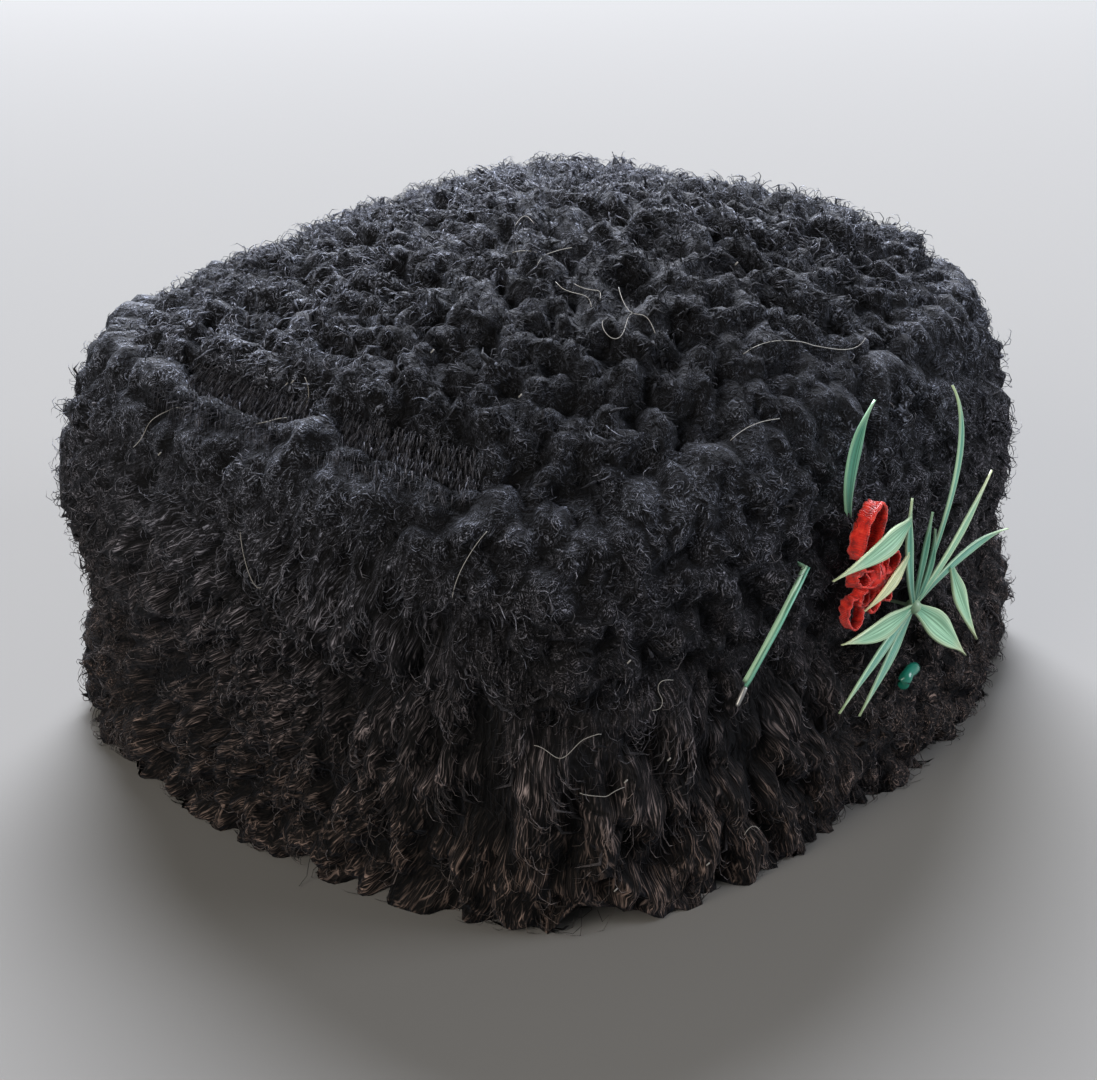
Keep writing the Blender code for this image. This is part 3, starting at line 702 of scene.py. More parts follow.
def bezier(points, share):
    """Places and directions on cubic curves whose four points are rows of an array."""
    a, b, c, d = points
    rest = 1 - share
    place = a * rest ** 3 + 3 * b * rest ** 2 * share + 3 * c * rest * share ** 2 + d * share ** 3
    slope = 3 * (b - a) * rest ** 2 + 6 * (c - b) * rest * share + 3 * (d - c) * share ** 2
    return place, unit(slope)


def unit(vectors):
    return vectors / np.maximum(np.linalg.norm(vectors, axis=1, keepdims=True), 1e-9)


Fibres = namedtuple("Fibres", "template curve plane radius tone light tile_start tile_share root_light")


def chosen_fibres(fibres, chosen):
    """Some of the fibres, by a mask."""
    return fibres._replace(curve=[points[chosen] for points in fibres.curve],
                           plane=fibres.plane[chosen], radius=fibres.radius[chosen],
                           tone=fibres.tone[chosen], light=fibres.light[chosen],
                           tile_start=fibres.tile_start[chosen])


def fibre_arrays(fibres):
    """Corners, faces and UVs of a template bent along every one of the fibres' curves."""
    corners, faces, uvs = fibres.template
    count = len(fibres.radius)
    verts = np.empty((count, len(corners), 3), np.float32)
    for index, (x, y, along) in enumerate(corners):
        place, slope = bezier(fibres.curve, along)
        side = unit(np.cross(slope, fibres.plane))
        over = np.cross(slope, side)
        verts[:, index] = (place + (side * x + over * y) * fibres.radius[:, None]) * MM
    lowest = rim_rise(np.arctan2(verts[:, :, 1], verts[:, :, 0])) + LOWEST
    verts[:, :, 2] = np.maximum(verts[:, :, 2], lowest * MM)
    loops = np.concatenate([np.array(face) for face in faces])
    sizes = np.array([len(face) for face in faces])
    every = np.arange(count)[:, None] * len(corners) + loops[None, :]
    across = fibres.tile_start[:, None] + fibres.tile_share * uvs[None, :, 0]
    tile = np.floor(np.clip(fibres.tone, 0.0, 0.999) * TONES)
    u = (tile[:, None] + TILE_EDGE + (1 - 2 * TILE_EDGE) * across) / TONES
    # V is painted light: painted shade at the root, rising to the tip and scaled by the fibre's painted
    # light
    rise = fibres.root_light + (1 - fibres.root_light) * uvs[None, :, 1]
    v = 0.02 + 0.94 * rise * fibres.light[:, None]
    return verts.reshape(-1, 3), np.tile(sizes, count), every.ravel(), np.stack([u, v], -1).reshape(-1, 2)


def joined_mesh(name, groups):
    """One mesh of several groups of fibres."""
    arrays = [fibre_arrays(group) for group in groups]
    starts = np.cumsum([0] + [len(verts) for verts, *_ in arrays])
    verts = np.concatenate([part[0] for part in arrays])
    sizes = np.concatenate([part[1] for part in arrays])
    corners = np.concatenate([part[2] + start for part, start in zip(arrays, starts)])
    mesh = bpy.data.meshes.new(name)
    mesh.vertices.add(len(verts))
    mesh.vertices.foreach_set("co", verts.ravel())
    mesh.loops.add(len(corners))
    mesh.loops.foreach_set("vertex_index", corners.astype(np.int32))
    mesh.polygons.add(len(sizes))
    mesh.polygons.foreach_set("loop_start", (np.cumsum(sizes) - sizes).astype(np.int32))
    mesh.update()
    mesh.validate()
    layer = mesh.uv_layers.new(name="OFBake")
    uvs = np.concatenate([part[3] for part in arrays])
    layer.data.foreach_set("uv", uvs.astype(np.float32).ravel())
    mesh.shade_smooth()
    return mesh


# The same lamb's wool, its single fibres outside, which catch the light. Their map is cut in 16 upright
# strips, from the cool black of the crown to the brownish black of the lower front. V is painted light and
# shade: from the painted shade of the dark roots to the greyer tips, whose pale tops are painted
# highlights, scaled by each fibre's painted light; the fine streaks along V part the fibres of a wisp.
wool_fibres = lambs_wool("wool_black_lamb_fibres", 0.2)
on_map = add_node(wool_fibres, "ShaderNodeUVMap", {"uv_map": "OFBake"}).outputs["UV"]
parts = add_node(wool_fibres, "ShaderNodeSeparateXYZ", inputs={"Vector": on_map}).outputs
warmth = parts["X"]
for operation, number in (("MULTIPLY", TONES), ("FLOOR", 0), ("DIVIDE", TONES - 1)):
    warmth = add_node(wool_fibres, "ShaderNodeMath", {"operation": operation},
                      {0: warmth, 1: number}).outputs[0]
# Dark roots to pale tips; the pale tips are painted highlights, and the blue-grey of the cool strips is
# painted cool light from above
cool = add_node(wool_fibres, "ShaderNodeValToRGB", inputs={"Fac": parts["Y"]},
                stops=((0.0, "#060607"), (0.42, "#2e2f35"), (1.0, "#aeb3c2"))).outputs["Color"]
warm = add_node(wool_fibres, "ShaderNodeValToRGB", inputs={"Fac": parts["Y"]},
                stops=((0.0, "#060606"), (0.42, "#322c29"), (1.0, "#ab9a90"))).outputs["Color"]
mixed = add_node(wool_fibres, "ShaderNodeMix", {"data_type": "RGBA"},
                 {"Factor": warmth, 6: cool, 7: warm}).outputs[2]
stretched = add_node(wool_fibres, "ShaderNodeVectorMath", {"operation": "MULTIPLY"},
                     {0: on_map, 1: (TONES * 20.0, 9.0, 1.0)}).outputs[0]
streaks = add_node(wool_fibres, "ShaderNodeTexNoise", {"noise_dimensions": "2D"},
                   {"Vector": stretched, "Scale": 1.0, "Detail": 4.0, "Distortion": 1.6}).outputs["Fac"]
contrast = add_node(wool_fibres, "ShaderNodeValToRGB", inputs={"Fac": streaks},
                    stops=((0.38, "#303030"), (0.62, "#ffffff"))).outputs["Color"]
shaded = add_node(wool_fibres, "ShaderNodeMix", {"data_type": "RGBA", "blend_type": "MULTIPLY"},
                  {"Factor": 1.0, 6: mixed, 7: contrast}).outputs[2]
dress(wool_fibres, shaded, streaks, 0.7)


def drift(points, scale, seed):
    """A smooth random vector for every point, which changes over a distance in millimetres."""
    shift = Vector((seed * 7.3, seed * 3.1, seed * 5.7))
    return np.array([noise.noise_vector(Vector(point) / scale + shift) for point in points])


def tangent_pair(normals):
    """Two directions across each normal: level, and up the surface."""
    level = unit(np.cross(np.array([0.0, 0.0, 1.0]), normals))
    return level, np.cross(normals, level)


def wool_manner(points, normals, turn):
    """How the wool lies at each place: its lean along the surface, its length and its warmth."""
    degrees = np.degrees(turn)
    height = points[:, 2]
    level, up = tangent_pair(normals)
    top = np.clip(normals[:, 2], 0.0, 1.0)
    low_front = near(degrees, -88, 32) * near(height, 12, 24)
    combed = near(degrees, -148, 26) * near(height, 62, 14)
    by_sprig = between(degrees, -80, -28, 2) * between(height, 16, 92, 3)
    length = 1 + 0.5 * low_front + 0.2 * combed + 0.3 * drift(points, 13.0, 1)[:, 0]
    length = np.where(by_sprig > 0.5, np.minimum(length, 0.8), length)
    droop = -0.34 * (1 - top) - 0.15 * top - 0.55 * low_front - 0.10 * combed
    sideways = -0.35 * combed + 0.12 * near(degrees, -60, 30) * (1 - top)
    sideways = sideways + 0.5 * (near(degrees, -97, 6) - near(degrees, -83, 6)) * (1 - top)
    flow = drift(points, 26.0, 2) * (0.55 - 0.25 * low_front)[:, None] + drift(points, 7.0, 3) * 0.5
    flow = flow - normals * (flow * normals).sum(axis=1, keepdims=True)
    lean = level * sideways[:, None] + up * droop[:, None] + flow
    # Warmer towards the bottom and the low front, cooler towards the top, where the cool tint is painted
    # cool light from above
    warmth = np.clip(0.80 - height / 110 + 0.2 * low_front, 0.0, 1.0)
    return lean, length, warmth


# How one kind of fibre grows: its shape, the ranges of its radius, length and lift off the wool, how
# deep it starts, its share of the map's strips and the painted light at its root
Coat = namedtuple("Coat", "template radius size lift sunk tile_share root_light")
WISPS = Coat(tapered_template(WISP_SIDES, WISP_RINGS), radius=(0.22, 0.55), size=(4.5, 8.0),
             lift=(0.3, 0.9), sunk=2.2, tile_share=0.5, root_light=0.2)
FUZZ = Coat(tapered_template(STRAND_SIDES, FUZZ_RINGS), radius=(0.06, 0.12), size=(3.0, 6.0),
            lift=(0.4, 1.1), sunk=0.6, tile_share=0.06, root_light=0.6)


def grow_wool(wall, last, coat, count, seed):
    """Fibres that gather toward the tips of the curls and turn with the wool's swirls."""
    chance = np.random.default_rng(seed)
    turn, share = even_places(count, wall.point, seed, last)
    pile = wall.pile(turn, share)
    kept = pile > LEAST_PILE
    turn, share, pile = turn[kept], share[kept], pile[kept]
    total = len(turn)
    skin = wall.point(turn, share)
    normal = wall.normals(turn, share)
    rise, inward = curls(skin)
    lean, length, warmth = wool_manner(skin, normal, turn)
    start = skin + normal * (pile * wool_depth(rise) - coat.sunk)[:, None]
    swirl = drift(skin, 5.0, 6)
    swirl, inward = (part - normal * (part * normal).sum(axis=1, keepdims=True) for part in (swirl, inward))
    _, _, combed, run_level = (part[:, None] for part in combing(skin))
    level, up = tangent_pair(normal)
    hang = -level * run_level * 0.9 - up * (1 - 0.6 * run_level)
    curl = (unit(swirl) * 0.45 + inward * 1.2) * (1 - 0.8 * combed) + hang * combed * 1.3
    way = unit(curl + lean * 0.8 + normal * chance.uniform(*coat.lift, (total, 1)) * (1 - 0.35 * combed)
               + chance.normal(0, 0.13, (total, 3)))
    turned = np.cross(normal, way) * np.sign(drift(skin, 8.0, 7)[:, :1])
    turned = unit(turned - normal * 0.30 + chance.normal(0, 0.13, (total, 3)))
    # Painted light of each fibre: painted shade between the curls, times the painted light and shade over
    # the hat
    light = np.clip(0.22 + 0.62 * rise, 0.0, 1.0) * painted_light_and_shade(skin)
    size = (chance.uniform(*coat.size, total) * length * np.clip(pile, 0.5, 1.0))[:, None]
    return Fibres(coat.template,
                  [start, start + way * size * 0.45, start + way * size * 0.80 + turned * size * 0.15,
                   start + way * size * 0.70 + turned * size * 0.60],
                  unit(np.cross(way, turned)), chance.uniform(*coat.radius, total),
                  np.clip(warmth + chance.normal(0, 0.10, total), 0.0, 0.999),
                  np.clip(light + chance.uniform(-0.30, 0.42, total), 0.10, 1.0),
                  chance.uniform(0, 0.99 - coat.tile_share, total), coat.tile_share, coat.root_light)


def comb_seam(wall, low, high, step, seed):
    """Fine strands laid flat across the open stretches of the seam, on one side of it."""
    chance = np.random.default_rng(seed)
    turn = chance.uniform(-162, -100, COMBED_STRANDS * 2)
    turn = np.radians(turn)
    turn = turn[open_seam(turn) > 0.5][:COMBED_STRANDS]
    total = len(turn)
    share = chance.uniform(low, high, total)
    normal = wall.normals(turn, share)
    root = wall.point(turn, share) + normal * 0.5
    tip = wall.point(turn + chance.normal(0, 0.012, total), np.clip(share + step, 0.0, 1.0))
    height = chance.uniform(3.2, 5.4, (total, 1))
    curve = [root, root + normal * height, root * 0.5 + tip * 0.5 + normal * height * 1.1,
             tip + normal * height * 0.8]
    return Fibres(tapered_template(STRAND_SIDES, STRAND_RINGS), curve,
                  unit(np.cross(normal, tip - root)), STRAND_RADIUS * chance.uniform(0.7, 1.2, total),
                  chance.uniform(0.1, 0.35, total), chance.uniform(0.5, 0.9, total),
                  chance.uniform(0, 0.93, total), 0.06, 0.6)


def add_wool(name, groups, chosen_by, slot):
    picked = [chosen_fibres(group, chosen_by(group.curve[0])) for group in groups]
    add_piece(name, joined_mesh(name, picked), slot, wool_fibres)


def quarter(middle):
    """A chooser of roots within 45 degrees of a turn."""
    def chosen(points):
        turns = np.degrees(np.arctan2(points[:, 1], points[:, 0]))
        return np.abs((turns - middle + 180) % 360 - 180) <= 45
    return chosen


band_wool = (grow_wool(BAND, 0.97, WISPS, BAND_WISPS, 11), grow_wool(BAND, 0.97, FUZZ, BAND_FUZZ, 13),
             comb_seam(BAND, 0.83, 0.99, -0.07, 5))
for name, middle in (("wool_band_front", -90), ("wool_band_left", 0), ("wool_band_back", 90),
                     ("wool_band_right", 180)):
    add_wool(name, band_wool, quarter(middle), "band_lambskin")
crown_wool = (grow_wool(CROWN, 0.98, WISPS, CROWN_WISPS, 29), grow_wool(CROWN, 0.98, FUZZ, CROWN_FUZZ, 31),
              comb_seam(CROWN, 0.90, 0.96, 0.05, 7))
add_wool("wool_crown_front", crown_wool, lambda points: points[:, 1] < 0, "crown_lambskin")
add_wool("wool_crown_back", crown_wool, lambda points: points[:, 1] >= 0, "crown_lambskin")

# Leaf spray
# One moulding of soft green plastic: leaves and stalks that meet in a knot, with a pin through the
# wool to the skin. The leaves are thin, folded along the middle and finely veined, paler at the tips.
Place = namedtuple("Place", "turn height out")
Leaf = namedtuple("Leaf", "root middle tip width look")
Branch = namedtuple("Branch", "carrier share")
KNOT = Place(-45.4, 41, 2.5)
GREEN, DARK, PALE, CREAM = range(4)
SPRAY_LEAVES = {
    "upright": Leaf(KNOT, Place(-37.6, 67, 4.0), Place(-36.1, 83, 5.0), 2.6, GREEN),
    "pale": Leaf(KNOT, Place(-37.8, 51.5, 3.5), Place(-30.6, 62, 6.0), 3.0, PALE),
    "arched": Leaf(KNOT, Place(-35.9, 47, 4.5), Place(-28.9, 48, 8.5), 2.2, GREEN),
    "broad_left": Leaf(Branch("stalk_left", 0.8), Place(-55.4, 62, 6.5), Place(-63.1, 60, 6.0), 5.0,
                       PALE),
    "narrow_left": Leaf(Branch("stalk_left", 0.5), Place(-53.9, 53, 6.0), Place(-57.9, 50, 6.0), 2.6,
                        CREAM),
    "stalk_left": Leaf(KNOT, Place(-49.4, 56, 4.0), Place(-48.4, 67, 4.5), 2.6, GREEN),
    "stalk_middle": Leaf(KNOT, Place(-45.7, 52.5, 3.5), Place(-44.8, 62, 5.0), 2.4, DARK),
    "stalk_right": Leaf(KNOT, Place(-43.4, 48.5, 3.0), Place(-43.1, 57, 3.5), 2.4, DARK),
    "low_left": Leaf(KNOT, Place(-53.5, 42, 4.0), Place(-60.5, 44, 5.0), 4.8, PALE),
    "long_low_left": Leaf(KNOT, Place(-53.8, 36.5, 4.0), Place(-61.4, 30.5, 5.0), 2.2, GREEN),
    "long_low_right": Leaf(KNOT, Place(-51.4, 33.5, 3.0), Place(-57.6, 26.5, 3.5), 2.6, GREEN),
    "low_right": Leaf(KNOT, Place(-40.3, 32.5, 4.0), Place(-35.3, 23, 4.5), 6.0, PALE),
    "broad_right": Leaf(Branch("arched", 0.35), Place(-35.7, 35.5, 5.0), Place(-33.5, 25.5, 6.0), 5.0,
                        PALE),
}
BLADE_ALONG = 18
BLADE_ACROSS = 6
BLADE_FOLD = 0.34
BLADE_THICKNESS = 0.5
BROADEST = 0.42
ROOT_BREADTH = 0.4
KNOT_RADIUS = 1.6
PIN_RADIUS = 0.35
PIN_LENGTH = 8.6
EDGE_PALENESS = 0.45


def wool_point(place):
    """The point at a place on the wall, measured from the tips of the wool."""
    turn = math.radians(place.turn)
    share = min(place.height / float(seam_height(turn)), 1.0) ** (1 / float(height_power(turn)))
    spread = np.interp(share, BAND_SECTIONS[:-1, 0], BAND_SECTIONS[:-1, 1])
    return Vector(hat_point(turn, plan_radius(turn) * spread + place.out, place.height))


def outward(place):
    turn = math.radians(place.turn)
    return Vector((math.cos(turn), math.sin(turn), 0.0))


def route_point(points, share):
    """A point on the smooth curve that passes through three points."""
    root, middle, tip = points
    control = middle * 2 - (root + tip) / 2
    return (root * (1 - share) + control * share) * (1 - share) + (
        control * (1 - share) + tip * share) * share


def leaf_points(leaf):
    root = leaf.root
    if isinstance(root, Branch):
        return (route_point(leaf_points(SPRAY_LEAVES[root.carrier]), root.share),
                wool_point(leaf.middle), wool_point(leaf.tip))
    return wool_point(root), wool_point(leaf.middle), wool_point(leaf.tip)


def smooth_step(share):
    share = min(max(share, 0.0), 1.0)
    return share * share * (3 - 2 * share)


def blade_breadth(along):
    if along < BROADEST:
        return ROOT_BREADTH + (1 - ROOT_BREADTH) * smooth_step(along / BROADEST)
    return 1 - 0.97 * smooth_step((along - BROADEST) / (1 - BROADEST)) ** 1.3


def add_blade(bm, on_leaf, leaf):
    """Adds a leaf's blade, whose map runs across it in U and from its root to its tip in V."""
    points = leaf_points(leaf)
    made = bmesh.ops.create_grid(bm, x_segments=BLADE_ACROSS, y_segments=BLADE_ALONG, size=0.5)["verts"]
    spots = {vert: (vert.co.x * 2, vert.co.y + 0.5) for vert in made}
    for vert, (across, along) in spots.items():
        ahead = route_point(points, along + 0.03) - route_point(points, along - 0.03)
        out = outward(leaf.middle).lerp(outward(leaf.tip), along)
        side = ahead.cross(out).normalized()
        lift = side.cross(ahead).normalized()
        half = leaf.width / 2 * blade_breadth(along)
        ripple = 0.10 * math.sin(9 * along + 2 * across) * across ** 2
        fold = (abs(across) - 0.5) * BLADE_FOLD + ripple
        vert.co = (route_point(points, along) + side * across * half + lift * fold * half) * MM
    for face in {face for vert in made for face in vert.link_faces}:
        face.material_index = leaf.look
        face.smooth = True
        for loop in face.loops:
            across, along = spots[loop.vert]
            loop[on_leaf].uv = ((across + 1) / 2, along)


def add_rod(bm, points, radii, sides):
    """Adds a closed round rod with a radius at each of its points."""
    corner = bm.verts.layers.float.get("corner") or bm.verts.layers.float.new("corner")
    ring = bmesh.ops.create_circle(bm, segments=sides, radius=1.0)["verts"]
    for index, vert in enumerate(ring):
        vert[corner] = 2 * math.pi * index / sides
    edges = list({edge for vert in ring for edge in vert.link_edges})
    ends = list(edges)
    made = list(ring)
    for index, (point, radius) in enumerate(zip(points, radii)):
        if index:
            ring, edges = draw_ring(bm, edges)
            made += ring
        after = points[min(index + 1, len(points) - 1)]
        ahead = (after - points[max(index - 1, 0)]).normalized()
        side = ahead.orthogonal() if abs(ahead.z) > 0.95 else ahead.cross(Vector((0.0, 0.0, 1.0)))
        side.normalize()
        over = ahead.cross(side)
        for vert in ring:
            turn = vert[corner]
            vert.co = (point + (side * math.cos(turn) + over * math.sin(turn)) * radius) * MM
    for loop in (ends, edges):
        bmesh.ops.contextual_create(bm, geom=loop)
    faces = list({face for vert in made for face in vert.link_faces})
    bmesh.ops.recalc_face_normals(bm, faces=faces)
    for face in faces:
        face.smooth = len(face.verts) == 4
    return faces


def add_pin(bm, place):
    """Adds a pin from a place on the sprig into the wool."""
    head = wool_point(place) - outward(place) * PIN_RADIUS
    end = head - outward(place) * (PIN_LENGTH + place.out)
    return add_rod(bm, [head, (head + end) / 2, end], [PIN_RADIUS] * 3, 8)


def leaf_plastic(name, root, middle, tip):
    """Soft plastic, moulded in one green and tinted with a brush: paler tip, fine lengthwise veins."""
    made = new_material(name, middle, 0.42, Specular_IOR_Level=0.45)
    spot = add_node(made, "ShaderNodeUVMap", {"uv_map": "on_leaf"}).outputs["UV"]
    parts = add_node(made, "ShaderNodeSeparateXYZ", inputs={"Vector": spot})
    tint = add_node(made, "ShaderNodeValToRGB", inputs={"Fac": parts.outputs["Y"]},
                    stops=((0.0, root), (0.35, middle), (0.72, middle), (0.97, tip))).outputs["Color"]
    beside = add_node(made, "ShaderNodeMath", {"operation": "SUBTRACT"}, {0: parts.outputs["X"], 1: 0.5})
    beside = add_node(made, "ShaderNodeMath", {"operation": "ABSOLUTE"}, {0: beside.outputs[0]})
    edge = add_node(made, "ShaderNodeMapRange", inputs={"Value": beside.outputs[0], "From Min": 0.30,
                                                        "From Max": 0.50, "To Max": EDGE_PALENESS})
    tint = add_node(made, "ShaderNodeMix", {"data_type": "RGBA"},
                    {"Factor": edge.outputs[0], 6: tint, 7: srgb(tip)}).outputs[2]
    fine = add_node(made, "ShaderNodeVectorMath", {"operation": "MULTIPLY"}, {0: spot, 1: (14, 1.2, 1)})
    vein = add_node(made, "ShaderNodeTexNoise", {"noise_dimensions": "2D"},
                    {"Vector": fine.outputs[0], "Scale": 1.0, "Detail": 1.0})
    shade = add_node(made, "ShaderNodeValToRGB", inputs={"Fac": vein.outputs["Fac"]},
                     stops=((0.35, "#b9c4bd"), (0.65, "#ffffff"))).outputs["Color"]
    toned = add_node(made, "ShaderNodeMix", {"data_type": "RGBA", "blend_type": "MULTIPLY"},
                     {"Factor": 1.0, 6: tint, 7: shade})
    dress(made, toned.outputs[2], vein.outputs["Fac"], 0.15, 0.6)
    return made


leaf_looks = [leaf_plastic("plastic_leaf_green", "#3a7663", "#6aa790", "#c4d6ae"),
              leaf_plastic("plastic_leaf_dark", "#2a5c4a", "#4a8a70", "#9cc0a0"),
              leaf_plastic("plastic_leaf_pale", "#569678", "#9ac7a4", "#dfe4bb"),
              leaf_plastic("plastic_leaf_cream", "#8fae84", "#cfd3a4", "#e6dcb4")]


def mapped_bmesh(layer="on_leaf"):
    """An empty bmesh, and its layer for the map that its material reads."""
    bm = bmesh.new()
    return bm, bm.loops.layers.uv.new(layer)


def add_sheet(name, bm, thickness, slot, *materials):
    """A thin piece: a sheet given its thickness."""
    piece = add_piece(name, mesh_of(name, bm), slot, *materials)
    solid = piece.modifiers.new("thickness", "SOLIDIFY")
    solid.thickness = thickness * MM
    solid.offset = 0.0
    return piece


bm, on_leaf = mapped_bmesh()
for leaf in SPRAY_LEAVES.values():
    add_blade(bm, on_leaf, leaf)
spray = add_sheet("spray_leaves", bm, BLADE_THICKNESS, "leaf_plastic", *leaf_looks)
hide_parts("leaf_spray")
bm, _ = mapped_bmesh()
bmesh.ops.create_icosphere(bm, subdivisions=3, radius=KNOT_RADIUS * MM,
                           matrix=Matrix.Translation(wool_point(KNOT) * MM))
for face in bm.faces:
    face.smooth = True
add_pin(bm, KNOT)
add_piece("spray_knot", mesh_of("spray_knot", bm), "leaf_plastic", leaf_looks[GREEN])

# Side blade
# A longer leaf of the same moulding, darker, pushed in beside the ribbon by its own pin.
SIDE_BLADE = Leaf(Place(-57.8, 67.5, 0.8), Place(-57.7, 80.5, 5.0), Place(-54.5, 90, 7.0), 3.4, DARK)
bm, on_leaf = mapped_bmesh()
add_blade(bm, on_leaf, SIDE_BLADE)
side_blade = add_sheet("side_blade_leaf", bm, BLADE_THICKNESS, "leaf_plastic", *leaf_looks)
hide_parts("side_blade")
bm, _ = mapped_bmesh()
add_pin(bm, SIDE_BLADE.root)
add_piece("side_blade_pin", mesh_of("side_blade_pin", bm), "leaf_plastic", leaf_looks[DARK])

# Loose stem and its wire
# A ribbed stem that has come away from the spray and lies on the wool, torn open at its lower end,
# where the grey tip of its wire shows.
LOOSE_STEM_ROUTE = (Place(-64.1, 61, -0.6), Place(-69.1, 54.5, 3.0), Place(-72.9, 43.5, 2.6))
WIRE_END = Place(-74.2, 40, 2.4)
STEM_WIDTH = 1.3
STEM_THICKNESS = 0.9
STEM_STEPS = 26
WIRE_RADIUS = 0.5
WIRE_START_GAP = 0.5

points = [wool_point(place) for place in LOOSE_STEM_ROUTE]
bm, on_leaf = mapped_bmesh()
spots = {}
for vert in bmesh.ops.create_grid(bm, x_segments=6, y_segments=STEM_STEPS, size=0.5)["verts"]:
    across, along = vert.co.x * 2, vert.co.y + 0.5
    spots[vert] = (across, along)
    torn = 0.035 * math.cos(4.5 * across) if along > 0.98 else 0.0
    centre = route_point(points, along + torn)
    ahead = route_point(points, along + 0.03) - route_point(points, along - 0.03)
    side = ahead.cross(outward(LOOSE_STEM_ROUTE[1])).normalized()
    lift = side.cross(ahead).normalized()
    ridge = 0.18 * math.cos(across * math.pi * 2) - 0.30 * across ** 2
    half = STEM_WIDTH / 2 * (1 + 0.06 * math.sin(14 * along))
    vert.co = (centre + side * across * half + lift * ridge) * MM
for face in bm.faces:
    face.smooth = True
    for loop in face.loops:
        across, along = spots[loop.vert]
        loop[on_leaf].uv = ((across + 1) / 2, 0.2 + 0.5 * along)
stem = add_sheet("loose_stem_strip", bm, STEM_THICKNESS, "leaf_plastic", leaf_looks[GREEN])
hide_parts("loose_stem")
bm, _ = mapped_bmesh()
add_pin(bm, LOOSE_STEM_ROUTE[0])
add_piece("loose_stem_pin", mesh_of("loose_stem_pin", bm), "leaf_plastic", leaf_looks[DARK])

# Tinned steel wire, dulled
wire_metal = new_material("wire_tinned_steel", "#8f8f8d", 0.45, Metallic=0.85)
end = wool_point(WIRE_END)
start = points[-1] + (end - points[-1]).normalized() * WIRE_START_GAP
bm = bmesh.new()
add_rod(bm, [start.lerp(end, share) for share in (0.0, 0.1, 0.5, 0.9, 1.0)],
        [WIRE_RADIUS * share for share in (0.8, 1.0, 1.0, 0.9, 0.5)], 10)
wire = add_piece("stem_wire_tip", mesh_of("stem_wire_tip", bm), "wire", wire_metal)
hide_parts("stem_wire")

# Stem stub
# The stub of a lost leaf under the spray: a bent bit of smooth teal plastic with a collar.
STUB_ROUTE = (Place(-44.1, 26, 0.8), Place(-46.9, 27, 2.0), Place(-47.8, 24.5, 1.4))
STUB_RADIUS = 1.35
STUB_STEPS = 14

# Smooth teal plastic, glossier than the leaves
teal = new_material("plastic_stub_teal", "#1a6b59", 0.22, Specular_IOR_Level=0.5)
points = [wool_point(place) for place in STUB_ROUTE]
bm = bmesh.new()
radii = [STUB_RADIUS * (0.86 + 0.16 * abs(math.sin(2.2 * math.pi * step / STUB_STEPS)))
         for step in range(STUB_STEPS + 1)]
radii[0] = radii[-1] = STUB_RADIUS * 0.6
add_rod(bm, [route_point(points, step / STUB_STEPS) for step in range(STUB_STEPS + 1)], radii, 16)
add_pin(bm, STUB_ROUTE[0])
stub = add_piece("stem_stub_bit", mesh_of("stem_stub_bit", bm), "stub_plastic", teal)
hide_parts("stem_stub")

# Ribbon flower
# A strip of red ribbon gathered into a small flower: crumpled loops round a knot, a tall loop above
# and a small one below, all pinned through the wool. The ribbon is thin, crinkled across its length.
HEART = Place(-54.6, 54, 2.6)
RIBBON_THICKNESS = 0.35
RibbonLoop = namedtuple("RibbonLoop", "place tilt height width depth shift turn")
RIBBON_LOOPS = (
    RibbonLoop(Place(-56.0, 64.5, 3.2), 28, 11.6, 4.6, 3.8, 0.0, 0),
    RibbonLoop(Place(-58.0, 48.5, 2.5), -4, 6.6, 4.2, 2.6, 0.0, 0),
    RibbonLoop(HEART, 10, 7.4, 3.4, 3.4, 3.2, 10),
    RibbonLoop(HEART, 62, 7.6, 3.2, 3.0, 3.0, -18),
    RibbonLoop(HEART, 104, 7.2, 3.6, 3.2, 3.1, 14),
    RibbonLoop(HEART, 150, 7.0, 3.2, 2.8, 3.0, -12),
    RibbonLoop(HEART, 196, 7.4, 3.0, 3.2, 3.0, 20),
    RibbonLoop(HEART, 238, 7.2, 3.6, 3.0, 3.2, -8),
    RibbonLoop(HEART, 282, 7.8, 3.2, 3.4, 3.2, 16),
    RibbonLoop(HEART, 326, 7.2, 3.4, 3.0, 2.9, -14),
)
LOOP_STEPS = 56
RIBBON_ROWS = 6
HEART_HALVES = Vector((3.0, 1.9, 2.8))


def axes_at(place):
    """Matrix of a place on the wall: X along the wall, Y into it, Z up."""
    out = outward(place)
    frame = Matrix((Vector((-out.y, out.x, 0.0)), -out, Vector((0.0, 0.0, 1.0)))).transposed().to_4x4()
    frame.translation = wool_point(place)
    return frame


